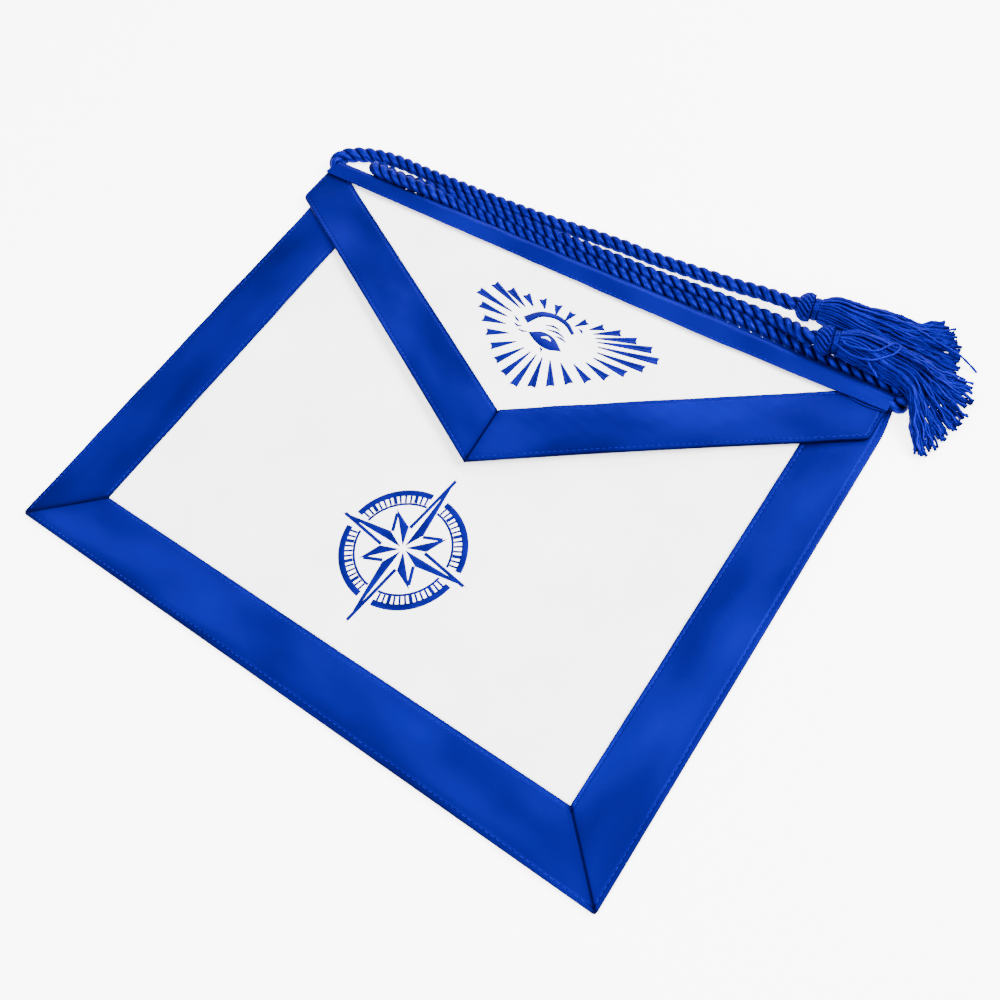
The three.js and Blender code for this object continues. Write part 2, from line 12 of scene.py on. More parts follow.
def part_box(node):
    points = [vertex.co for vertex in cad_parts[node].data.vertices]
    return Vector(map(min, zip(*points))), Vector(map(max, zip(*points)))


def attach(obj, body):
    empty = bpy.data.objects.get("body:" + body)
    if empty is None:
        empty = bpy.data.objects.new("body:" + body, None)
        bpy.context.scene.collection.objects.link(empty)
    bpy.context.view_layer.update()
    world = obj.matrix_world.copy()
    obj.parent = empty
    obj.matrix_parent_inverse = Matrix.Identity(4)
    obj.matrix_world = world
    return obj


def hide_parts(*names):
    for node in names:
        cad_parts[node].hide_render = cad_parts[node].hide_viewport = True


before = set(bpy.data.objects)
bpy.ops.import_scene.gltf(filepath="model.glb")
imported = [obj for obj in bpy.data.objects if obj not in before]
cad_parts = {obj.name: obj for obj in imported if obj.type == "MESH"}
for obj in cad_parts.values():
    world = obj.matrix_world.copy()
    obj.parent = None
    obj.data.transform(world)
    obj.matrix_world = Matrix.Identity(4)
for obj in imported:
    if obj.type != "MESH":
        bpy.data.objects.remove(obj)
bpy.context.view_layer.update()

# Where the lay frame's origin is in the row frame
hem_low, hem_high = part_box("hem_band")
LAY = np.array([(hem_low.x + hem_high.x) / 2, hem_low.y, 0])

# Body
APRON_WIDTH = 0.4064
SEAM_HEIGHT = 0.3127
SEAM_SLOPE = math.tan(math.radians(1.6))
CLOTH = 0.0015
RIBBON = 0.001
LEFT_BORDER = 0.0395
RIGHT_BORDER = 0.037
HEM_BORDER = 0.036
GAP = 0.0003

# Flap
FLAP_DROP = 0.1473
TIP_SHIFT = 0.0094
FLAP_OVERHANG = 0.0078
FLAP_SETBACK = 0.0052
LEFT_END = 0.0255
RIGHT_END = 0.0217
FLAP_BORDER = 0.0332
FLAP_CLOTH = 0.0012
FLAP_RIBBON = 0.0008
CORNER_RADIUS = 0.003
SEAM_RISE = 0.0006
BELLY_RISE = 0.0022
TIP_RISE = 0.002

# Waistband casing
CORD_DIAMETER = 0.0075
CASING_WALL = 0.001
CASING_RADIUS = CORD_DIAMETER / 2 + GAP + CASING_WALL
CASING_REACH = 0.007
LIP_REACH = 0.0033
LIP_CLEARANCE = 0.0009
CASING_OVERHANG = 0.0066
CASING_SETBACK = 0.0047
MOUTH_SLANT = 0.75
CASING_ALONG = [0.0, 0.15, 0.35, 0.55, 0.75, 0.9, 1.0]
CASING_REACHES = [0.94, 0.93, 0.95, 1.02, 1.08, 0.95, 0.86]
CASING_LIPS = [0.3, 0.52, 0.68, 0.88, 1.0, 0.76, 0.45]

# Tassels
HEAD_RADIUS = 0.009
HEAD_LENGTH = 0.0094
NECK_RADIUS = 0.007
NECK_LENGTH = 0.0038
SKIRT_LENGTH = 0.084
SKIRT_RADIUS = 0.0095
LEFT_TURN = math.radians(10)
RIGHT_TURN = math.radians(14)

HALF = APRON_WIDTH / 2
RIBBON_SEAT = CLOTH + GAP
FLAP_SEAT = RIBBON_SEAT + RIBBON + GAP
LIP_HEIGHT = FLAP_SEAT + FLAP_CLOTH + GAP + FLAP_RIBBON + LIP_CLEARANCE
CASING_LEFT = -HALF - CASING_OVERHANG
CASING_RIGHT = HALF - CASING_SETBACK
CASING_LENGTH = CASING_RIGHT - CASING_LEFT
FLAP_LEFT = -HALF - FLAP_OVERHANG
FLAP_RIGHT = HALF - FLAP_SETBACK

# The cord's routes
LEFT_ROUTE = [
    (-0.2005, 0.3136, 0.0051), (-0.2052, 0.3139, 0.0051), (-0.2096, 0.3160, 0.0049),
    (-0.2112, 0.3200, 0.0047), (-0.2100, 0.3247, 0.0045), (-0.2059, 0.3288, 0.0043),
    (-0.1995, 0.3330, 0.0041), (-0.1870, 0.3380, 0.0040), (-0.1712, 0.3412, 0.0040),
    (-0.1546, 0.3419, 0.0040), (-0.1204, 0.3426, 0.0040), (-0.0868, 0.3427, 0.0040),
    (-0.0557, 0.3442, 0.0040), (-0.0264, 0.3472, 0.0040), (0.0025, 0.3498, 0.0040),
    (0.0312, 0.3513, 0.0040), (0.0582, 0.3542, 0.0040), (0.0845, 0.3570, 0.0043),
    (0.1000, 0.3584, 0.0058), (0.1110, 0.3576, 0.0081), (0.1180, 0.3573, 0.0092),
    (0.1214, 0.3579, 0.0093),
]
RIGHT_ROUTE = [
    (0.1935, 0.3242, 0.0051), (0.1988, 0.3245, 0.0051), (0.2032, 0.3262, 0.0050),
    (0.2049, 0.3298, 0.0047), (0.2024, 0.3334, 0.0044), (0.1965, 0.3343, 0.0042),
    (0.1870, 0.3339, 0.0041), (0.1690, 0.3337, 0.0041), (0.1500, 0.3340, 0.0041),
    (0.1233, 0.3350, 0.0041), (0.0966, 0.3351, 0.0041), (0.0698, 0.3337, 0.0041),
    (0.0426, 0.3319, 0.0041), (0.0141, 0.3309, 0.0041), (-0.0149, 0.3294, 0.0041),
    (-0.0450, 0.3280, 0.0041), (-0.0760, 0.3268, 0.0041), (-0.1060, 0.3259, 0.0050),
    (-0.1380, 0.3233, 0.0102), (-0.1600, 0.3226, 0.0107), (-0.1710, 0.3225, 0.0109),
    (-0.1773, 0.3239, 0.0102), (-0.1797, 0.3266, 0.0076), (-0.1773, 0.3292, 0.0049),
    (-0.1710, 0.3294, 0.0041), (-0.1600, 0.3292, 0.0040), (-0.1380, 0.3309, 0.0040),
    (-0.1100, 0.3339, 0.0040), (-0.0810, 0.3348, 0.0040), (-0.0495, 0.3359, 0.0040),
    (-0.0194, 0.3372, 0.0040), (0.0094, 0.3387, 0.0040), (0.0382, 0.3397, 0.0040),
    (0.0648, 0.3418, 0.0041), (0.0919, 0.3431, 0.0046), (0.1080, 0.3429, 0.0062),
    (0.1220, 0.3410, 0.0096), (0.1320, 0.3373, 0.0142), (0.1394, 0.3342, 0.0169),
    (0.1432, 0.3351, 0.0171),
]

# Camera at the photograph's angle
CAMERA_PLACE = (0.24408, -0.03536, 0.52053)
CAMERA_AZIMUTH = math.radians(46.58)
CAMERA_ELEVATION = math.radians(61.57)
CAMERA_ROLL = math.radians(-13.59)
CAMERA_LENS = 37.1
CAMERA_SENSOR = 36


def make_camera():
    data = bpy.data.cameras.new("camera")
    data.lens = CAMERA_LENS
    data.sensor_width = CAMERA_SENSOR
    camera = bpy.data.objects.new("camera", data)
    bpy.context.scene.collection.objects.link(camera)
    level = math.cos(CAMERA_ELEVATION)
    back = Vector((math.sin(CAMERA_AZIMUTH) * level, -math.cos(CAMERA_AZIMUTH) * level,
                   math.sin(CAMERA_ELEVATION)))
    right = Vector((math.cos(CAMERA_AZIMUTH), math.sin(CAMERA_AZIMUTH), 0))
    turn = Matrix((right, back.cross(right), back)).transposed() @ Matrix.Rotation(CAMERA_ROLL, 3, "Z")
    camera.location = Vector(CAMERA_PLACE) + Vector(LAY)
    camera.rotation_euler = turn.to_euler()
    bpy.context.scene.camera = camera


make_camera()


# Materials
def node(material, kind, **values):
    made = material.node_tree.nodes.new(kind)
    for name, value in values.items():
        if name in made.inputs:
            made.inputs[name].default_value = value
        else:
            setattr(made, name, value)
    return made


def link(material, start, end):
    material.node_tree.links.new(start, end)


def place_by(material, kind, scale, turn=0.0):
    """Coordinates for a texture: Object is the place in metres, UV runs along and across a piece"""
    source = node(material, "ShaderNodeTexCoord")
    mapping = node(material, "ShaderNodeMapping")
    mapping.inputs["Scale"].default_value = scale
    mapping.inputs["Rotation"].default_value = (0, 0, turn)
    link(material, source.outputs[kind], mapping.inputs["Vector"])
    return mapping.outputs["Vector"]


# At full painted shade a colour falls to this share of its dark end
DARKEST_PAINTED_SHADE = 0.25
PATCH_RANGE = (0.32, 0.68)


def grain(material, size, kind="Object", stretch=(1, 1, 1), detail=4.0, roughness=0.6):
    """Soft random unevenness, in patches of about that size"""
    noise = node(material, "ShaderNodeTexNoise", Scale=1.0, Detail=detail, Roughness=roughness)
    link(material, place_by(material, kind, tuple(s / size for s in stretch)), noise.inputs["Vector"])
    return noise.outputs["Fac"]


def shade(material, shader, dark, light, size, kind="Object", stretch=(1, 1, 1), detail=3.0):
    """Soft unevenness of colour, in patches of about that size, and painted shade where the mesh marks it"""
    ramp = node(material, "ShaderNodeValToRGB")
    for element, place, colour in zip(ramp.color_ramp.elements, PATCH_RANGE, (dark, light)):
        element.position = place
        element.color = (*colour, 1)
    link(material, grain(material, size, kind, stretch, detail, 0.55), ramp.inputs["Fac"])
    hollow = node(material, "ShaderNodeAttribute", attribute_name="hollow")
    darker = node(material, "ShaderNodeMix", data_type="RGBA")
    darker.inputs["B"].default_value = (*(DARKEST_PAINTED_SHADE * part for part in dark), 1)
    link(material, hollow.outputs["Fac"], darker.inputs["Factor"])
    link(material, ramp.outputs["Color"], darker.inputs["A"])
    link(material, darker.outputs["Result"], shader.inputs["Base Color"])


def threads(material, pitch, across, kind="UV", turn=0.0):
    """Fine parallel threads, one every pitch; across is the axis that they follow one another along"""
    wave = node(material, "ShaderNodeTexWave", Scale=math.tau / 20, Distortion=0.0)
    wave.wave_type = "BANDS"
    wave.bands_direction = across
    link(material, place_by(material, kind, (1 / pitch,) * 3, turn), wave.inputs["Vector"])
    return wave.outputs["Fac"]


def make_fabric(name, roughness, colours, layers, **sockets):
    """A material: what shade is told about its colours, its layers of bump, each a texture, what the texture
    is told, its depth in metres and its strength, and constant values for the shader's own sockets"""
    material = bpy.data.materials.new(name)
    material.use_nodes = True
    shader = material.node_tree.nodes["Principled BSDF"]
    shader.inputs["Roughness"].default_value = roughness
    for socket, value in sockets.items():
        shader.inputs[socket.replace("_", " ")].default_value = value
    shade(material, shader, *colours)
    normal = None
    for texture, told, depth, strength in layers:
        made = node(material, "ShaderNodeBump", Strength=strength, Distance=depth)
        link(material, texture(material, *told), made.inputs["Height"])
        if normal:
            link(material, normal, made.inputs["Normal"])
        normal = made.outputs["Normal"]
    if normal:
        link(material, normal, shader.inputs["Normal"])
    return material


def make_thread(name, dark, light, gloss, metallic):
    return make_fabric(name, 0.42, (dark, light, 0.012), [(grain, (0.0004, "UV", (1, 0.3, 1)), 0.00005, 0.5)],
                       Metallic=metallic, Specular_IOR_Level=0.3, Specular_Tint=gloss)


# The dye colours the gloss of the threads too
BLUE_GLOSS = (0.02, 0.03, 0.6, 1)
SPUN = {"Metallic": 0.8, "Specular_IOR_Level": 0.3, "Specular_Tint": BLUE_GLOSS}

# The white cloth's soft lighter and darker patches are painted shade, for its gentle undulation
WHITE_CLOTH = make_fabric(
    "white_cloth", 0.7, ((0.87, 0.875, 0.895), (0.975, 0.978, 0.985), 0.06),
    [(grain, (0.012,), 0.0004, 0.35),
     (threads, (0.0006, "X", "Object"), 0.00006, 0.3),
     (threads, (0.0006, "Y", "Object"), 0.00006, 0.3)],
    Sheen_Weight=0.15, Sheen_Roughness=0.5, Specular_IOR_Level=0.35)
# The satin's long lighter and darker patches are painted sheen, for reflections off its soft waves
SATIN = make_fabric(
    "satin_ribbon", 0.45, ((0.0012, 0.0003, 0.072), (0.0022, 0.0007, 0.148), 0.04, "UV", (0.55, 1.1, 1), 1.4),
    [(grain, (0.009,), 0.0005, 0.3),
     (threads, (0.0004, "X"), 0.00005, 0.35),
     (grain, (0.0005, "UV", (1, 6, 1)), 0.00004, 0.4)],
    Metallic=0.7, Specular_IOR_Level=0.2, Specular_Tint=BLUE_GLOSS, Anisotropic=0.3)
satin_tangent = node(SATIN, "ShaderNodeTangent", direction_type="UV_MAP", uv_map="UVMap")
link(SATIN, satin_tangent.outputs["Tangent"], SATIN.node_tree.nodes["Principled BSDF"].inputs["Tangent"])
CORD_SATIN = make_fabric(
    "cord_satin", 0.34, ((0.0014, 0.0003, 0.085), (0.003, 0.0009, 0.19), 0.004, "UV", (0.3, 2.0, 1), 2.0),
    [(threads, (0.00055, "Y", "UV", math.radians(12)), 0.00012, 0.6),
     (grain, (0.0006, "UV", (0.25, 1, 1)), 0.00008, 0.5)], **SPUN)
YARN = make_fabric(
    "tassel_yarn", 0.36, ((0.0018, 0.0004, 0.12), (0.004, 0.0012, 0.25), 0.01, "UV", (0.4, 2.0, 1), 2.0),
    [(threads, (0.0004, "Y", "UV", math.radians(24)), 0.00008, 0.6),
     (grain, (0.0005, "UV", (0.3, 1, 1)), 0.00006, 0.5)], **SPUN)
BLUE_THREAD = make_thread("embroidery_thread", (0.001, 0.0003, 0.06), (0.002, 0.0007, 0.125), BLUE_GLOSS, 0.5)
STITCH_THREAD = make_thread("stitch_thread", (0.002, 0.0006, 0.12), (0.004, 0.001, 0.22), BLUE_GLOSS, 0.4)
WHITE_THREAD = make_thread("white_thread", (0.85, 0.86, 0.88), (0.93, 0.93, 0.95), (1, 1, 1, 1), 0)
FLOOR = make_fabric("floor", 0.9, ((0.97, 0.97, 0.975), (0.985, 0.985, 0.985), 0.4), [],
                    Specular_IOR_Level=0.1, Emission_Strength=3.2, Emission_Color=(1, 1, 1, 1))


# Shapes
def grid_faces(rows, columns, wrap=False):
    """The faces of a grid of points, with each corner's place from 0 to 1 both ways; wrap closes columns"""
    steps = columns if wrap else columns - 1
    i, j = np.meshgrid(np.arange(rows - 1), np.arange(steps), indexing="ij")
    i, j = i.ravel(), j.ravel()
    corners = [(i, j), (i + 1, j), (i + 1, j + 1), (i, j + 1)]
    faces = np.stack([a * columns + b % columns for a, b in corners], 1)
    places = np.stack([np.stack([a / (rows - 1), b / steps], 1) for a, b in corners], 1)
    return faces, places


class Shape:
    """Grows one mesh from many closed bodies, given in the lay frame"""

    def __init__(self):
        self.points, self.faces, self.uvs, self.hollows, self.count = [], [], [], [], 0

    def add(self, points, faces, uvs, hollow=0.0):
        """The painted shade is 0 on open faces and 1 deep in a groove: one number, or one for each point"""
        self.points.append(points)
        self.hollows.append(np.broadcast_to(np.ravel(hollow), len(points)))
        self.faces.extend((np.asarray(faces) + self.count).tolist())
        self.uvs.append(np.asarray(uvs, float).reshape(-1, 2))
        self.count += len(points)

    def loft(self, rings, size=(1.0, 1.0), uv=None, flip=False, hollow=0.0):
        """A closed body over rings of points, with flat ends; size is what the UV's two ways measure"""
        rows, columns = rings.shape[:2]
        points = rings.reshape(-1, 3)
        faces, places = grid_faces(rows, columns, wrap=True)
        uvs = places * size if uv is None else uv.reshape(-1, 2)[faces]
        ends = [np.arange(columns)[::-1], np.arange(columns) + (rows - 1) * columns]
        if flip:
            faces, uvs = faces[:, ::-1], uvs[:, ::-1]
            ends = [end[::-1] for end in ends]
        start = self.count
        self.add(points, faces, uvs, hollow)
        for end in ends:
            self.faces.append((end + start).tolist())
            self.uvs.append(np.zeros((columns, 2)))

    def sheet(self, top, bottom):
        """A closed sheet between two grids of points, with the place in metres for its UV"""
        rows, columns = top.shape[:2]
        count = rows * columns
        points = np.vstack([top.reshape(-1, 3), bottom.reshape(-1, 3)])
        faces, _ = grid_faces(rows, columns)
        index = np.arange(count).reshape(rows, columns)
        rim = np.concatenate([index[:, 0], index[-1, 1:], index[-2::-1, -1], index[0, -2:0:-1]])
        after = np.roll(rim, -1)
        sides = np.stack([rim, rim + count, after + count, after], 1)
        every = np.vstack([faces, faces[:, ::-1] + count, sides])
        self.add(points, every, points[every][:, :, :2])

    def piece(self, name, material, slot, *replaced):
        """The finished piece, which stands for the replaced nodes"""
        mesh = bpy.data.meshes.new(name)
        points = np.vstack(self.points) + LAY
        points[:, 2] = np.maximum(points[:, 2], 0)
        mesh.from_pydata(points.tolist(), [], self.faces)
        layer = mesh.uv_layers.new(name="UVMap")
        layer.data.foreach_set("uv", np.vstack(self.uvs).astype(np.float32).ravel())
        mesh.polygons.foreach_set("use_smooth", np.ones(len(self.faces), bool))
        mesh.materials.append(material)
        # Each point's painted shade, by which the materials darken its colour
        marks = mesh.attributes.new("hollow", "FLOAT", "POINT")
        marks.data.foreach_set("value", np.clip(np.concatenate(self.hollows), 0, 1).astype(np.float32))
        mesh.update()
        obj = bpy.data.objects.new(name, mesh)
        bpy.context.scene.collection.objects.link(obj)
        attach(obj, "root")
        if replaced:
            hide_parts(*replaced)
        return obj


def unit(vectors):
    return vectors / np.linalg.norm(vectors, axis=-1, keepdims=True)


def left_of(direction):
    """A level direction turned a quarter to the left"""
    return np.array([-direction[1], direction[0]])


def lengths(path):
    return np.concatenate([[0], np.cumsum(np.linalg.norm(np.diff(path, axis=0), axis=1))])


def at(line, along, places):
    """The points of a line at some places along it"""
    return np.stack([np.interp(places, along, column) for column in line.T], 1)


def resample(path, count):
    """The same line with its points evenly apart"""
    along = lengths(path)
    return at(path, along, np.linspace(0, along[-1], count))


def circle(count):
    """Angles evenly round a circle"""
    return np.linspace(0, math.tau, count, endpoint=False)


def bell(distance, reach, height=1.0):
    """A soft rise of that height, mostly within that reach"""
    return height * np.exp(-(distance / reach) ** 2)


def smooth_curve(points, steps=16):
    """A curve through the points, with steps places from each to the next"""
    points = np.array(points, float)
    padded = np.vstack([2 * points[0] - points[1], points, 2 * points[-1] - points[-2]])
    share = np.linspace(0, 1, steps, endpoint=False)[:, None]
    places = []
    for a, b, c, d in zip(padded, padded[1:], padded[2:], padded[3:]):
        first, middle, last = (math.sqrt(np.linalg.norm(v)) for v in (b - a, c - b, d - c))
        leave = ((b - a) / first - (c - a) / (first + middle) + (c - b) / middle) * middle
        arrive = ((c - b) / middle - (d - b) / (middle + last) + (d - c) / last) * middle
        places.append(b + leave * share + (3 * (c - b) - 2 * leave - arrive) * share**2
                      + (2 * (b - c) + leave + arrive) * share**3)
    return np.vstack([*places, points[-1:]])


def carried_frames(path):
    """The direction along a path, and two across it that turn as little as they can"""
    tangent = unit(np.gradient(path, axis=0))
    normal = np.zeros_like(path)
    last = np.cross(tangent[0], (0, 0, 1.0))
    if np.linalg.norm(last) < 1e-6:
        last = np.array([1.0, 0, 0])
    for k, along in enumerate(tangent):
        last = last - along * (last @ along)
        last = last / np.linalg.norm(last)
        normal[k] = last
    return tangent, normal, np.cross(tangent, normal)


def tube(shape, path, normal, side, radius, sides, hollow=0.0):
    """A tube along a path; radius is one number, or one for each point of each ring, and so is its painted
    shade
    """
    angle = circle(sides)
    radius = np.broadcast_to(radius, (len(path), sides))
    rings = (path[:, None]
             + (radius * np.cos(angle))[..., None] * normal[:, None]
             + (radius * np.sin(angle))[..., None] * side[:, None])
    hollow = np.broadcast_to(hollow, (len(path), sides))
    shape.loft(rings, (lengths(path)[-1], math.tau * radius.mean()), hollow=hollow)


ROPE_STEP = 0.0011
ROPE_PITCH = 0.0232
ROPE_RADIUS = 0.0047
ROPE_SINK = 0.003
STRAND_SIDES = 12
STRAND_WIDENING = 1.08
# Angles from a strand's outermost line: where the painted shade of its groove starts, and over how much it
# grows
GROOVE_START = 0.7
GROOVE_SPREAD = 0.8


def rope(shape, path, radius, strands, pitch, sides=STRAND_SIDES):
    """Strands wound round one another along a path, with painted shade in the grooves between them"""
    tangent, normal, side = carried_frames(path)
    from_outside = np.abs(np.linspace(-math.pi, math.pi, sides, endpoint=False))
    # Painted shade, growing from the strand's outermost line into the grooves
    groove = np.roll(np.clip((from_outside - GROOVE_START) / GROOVE_SPREAD, 0, 1), sides // 2)
    helix = radius / (1 + math.sin(math.pi / strands))
    thickness = radius - helix
    turned = math.tau * lengths(path) / pitch
    for k in range(strands):
        angle = (turned + math.tau * k / strands)[:, None]
        out = np.cos(angle) * normal + np.sin(angle) * side
        onward = -np.sin(angle) * normal + np.cos(angle) * side
        lead = unit(tangent + onward * (math.tau * helix / pitch))
        tube(shape, path + helix * out, out, np.cross(lead, out) * STRAND_WIDENING, thickness, sides, groove)


def even(points):
    """A curve through the points with a place at every rope step"""
    curve = smooth_curve(points)
    return resample(curve, int(lengths(curve)[-1] / ROPE_STEP))


# The place along a cord where its strands loosen, the reach and how much
LEFT_LOOSE = (0.03, 0.026, 0.15)
RIGHT_LOOSE = (0.011, 0.0055, 0.28)
# Places along a cord where it lies a little off its route, the reach and how far
LEFT_NUDGES = [(0.09, 0.05, 0.0, -0.0018, 0.0)]
RIGHT_NUDGES = [(0.013, 0.008, -0.0016, -0.0009, 0.0), (0.21, 0.07, 0.0, -0.0012, 0.0),
                (0.41, 0.035, 0.0, -0.0012, 0.0), (0.59, 0.08, 0.0, -0.0018, 0.0016)]


def make_cord(name, route, loose, nudges, *replaced):
    """A free cord along its route and into its tassel's head"""
    path = even(route)
    along = lengths(path)[:, None]
    for middle, reach, *shift in nudges:
        path = path + bell(along - middle, reach) * shift
    sunk = np.arange(ROPE_STEP, ROPE_SINK, ROPE_STEP)[:, None]
    path = np.vstack([path, path[-1] + unit(path[-1] - path[-2]) * sunk])
    middle, reach, amount = loose
    looser = 1 + bell(lengths(path) - middle, reach, amount)
    shape = Shape()
    rope(shape, path, ROPE_RADIUS * looser[:, None], 3, ROPE_PITCH)
    return shape.piece(name, CORD_SATIN, "cord_satin", *replaced), path


left_cord, left_path = make_cord("left_cord", LEFT_ROUTE, LEFT_LOOSE, LEFT_NUDGES,
                                 "cord_left_turn", "cord_left_run")
right_cord, right_path = make_cord("right_cord", RIGHT_ROUTE, RIGHT_LOOSE, RIGHT_NUDGES,
                                   "cord_right_turn", "cord_right_back", "cord_right_fold", "cord_right_run")


# The waist seam and the surfaces that lie under other pieces
def seam(x):
    return SEAM_HEIGHT + SEAM_SLOPE * x


def casing_share(x):
    return (x - CASING_LEFT) / CASING_LENGTH


def casing_middle(x):
    return CASING_REACH * np.interp(casing_share(x), CASING_ALONG, CASING_REACHES)


def cloth_top(x):
    return seam(x) + casing_middle(x) - CASING_RADIUS - GAP


def waves(x, y, size, depth, seed, count=7):
    """Soft unevenness: a few crossing waves of about that size"""
    random = np.random.default_rng(seed)
    total = 0
    for _ in range(count):
        angle, phase = random.uniform(0, math.tau, 2)
        length = size * random.uniform(0.7, 1.5)
        total = total + np.sin((x * math.cos(angle) + y * math.sin(angle)) * math.tau / length + phase)
    return depth * total / math.sqrt(count)


TIP = np.array([TIP_SHIFT, seam(TIP_SHIFT) - FLAP_DROP])
LEFT_CORNER = np.array([FLAP_LEFT, seam(FLAP_LEFT) - LEFT_END])
RIGHT_CORNER = np.array([FLAP_RIGHT, seam(FLAP_RIGHT) - RIGHT_END])


def flap_corner(x):
    """The flap's corner on the same side of the tip"""
    left = np.asarray(x) < TIP[0]
    return np.where(left, LEFT_CORNER[0], RIGHT_CORNER[0]), np.where(left, LEFT_CORNER[1], RIGHT_CORNER[1])


def flap_edge(x):
    corner_x, corner_y = flap_corner(x)
    return TIP[1] + (corner_y - TIP[1]) * (x - TIP[0]) / (corner_x - TIP[0])


def flap_lift(x, y):
    """Height of the flap's underside"""
    corner_x, _ = flap_corner(x)
    outwards = np.minimum(np.abs((x - TIP[0]) / (corner_x - TIP[0])), 1)
    down = np.clip((seam(x) - y) / FLAP_DROP, 0, 1)
    middle = 1 - outwards**2
    belly = np.sin(math.pi * down) * middle
    return FLAP_SEAT + SEAM_RISE * middle * (1 - down) + BELLY_RISE * belly + TIP_RISE * down**2


PANEL_WAVES = (0.07, 0.00012)
FLAP_WAVES = (0.05, 0.00022)


def panel_surface(x, y):
    return CLOTH + waves(x, y, *PANEL_WAVES, 3)


def flap_surface(x, y):
    return flap_lift(x, y) + FLAP_CLOTH + waves(x, y, *FLAP_WAVES, 5)


# Stitches
STITCH_LENGTH = 0.0025
STITCH_STEP = 0.0035
STITCH_RADIUS = 0.00027
STITCH_ARCH = 0.6 * STITCH_RADIUS
STITCH_SINK = 0.00012
STITCH_TAPER = np.array([0.5, 0.9, 1, 0.9, 0.5])
STITCH_SIDES = 6


def stitch_line(shape, line):
    """A row of stitches along a line of points, each dipping into the cloth at its ends"""
    along = lengths(line)
    share = np.linspace(0, 1, len(STITCH_TAPER))
    arch = STITCH_ARCH - (STITCH_ARCH + STITCH_SINK) * (2 * share - 1) ** 4
    for start in np.arange(STITCH_STEP / 2, along[-1] - STITCH_STEP, STITCH_STEP):
        path = at(line, along, start + share * STITCH_LENGTH)
        path[:, 2] += arch
        _, normal, side = carried_frames(path)
        tube(shape, path, normal, side, STITCH_RADIUS * STITCH_TAPER[:, None], STITCH_SIDES)


blue_stitches = Shape()


# Ribbons
EDGE_RADIUS = 0.0013
STITCH_DIP = 0.00034
OUTER_DIP_REACH = 0.0008
INNER_DIP_REACH = 0.0007
PUCKER = 0.00008
PUCKER_LENGTH = 0.0062
PUCKER_REACH = 0.006
CREASE_DEPTH = 0.0008
CREASE_WIDTH = 0.0008
CORNER_ROUND = 0.0021
BODY_STITCHES = (0.0034, 0.0026)
FLAP_STITCHES = (0.0025, 0.0019)
# The satin's soft waves, each with its size and depth
LONG_WAVES = (0.034, 0.00022)
SHORT_WAVES = (0.011, 0.00005)
# Painted shade along lines of a ribbon's face, each with its reach and how dark it is
OUTER_STITCH_MARK = (0.0005, 0.4)
INNER_STITCH_MARK = (0.0005, 0.3)
OUTER_EDGE_MARK = (0.0009, 0.6)
INNER_EDGE_MARK = (0.0006, 0.5)
CREASE_MARK = (0.0013, 1.1)
CREASE_HALO = (0.006, 0.22)
# The painted shade by the outer edge, where the satin rolls: its width, how that varies, its usual strength,
# and how that varies
ROLL_WIDTH = 0.0075
ROLL_WAVES = (0.05, 0.0015)
ROLL_MEAN = 0.6
ROLL_PATCHES = (0.09, 0.5)
# The chamfer of the outer lower edge, and the strips by the edges where the section has more points
CHAMFER = (0.00025, 0.0004)
INNER_CHAMFER = (0.0005, 0.0004)
OUTER_STRIP = 0.005
INNER_STRIP = 0.004


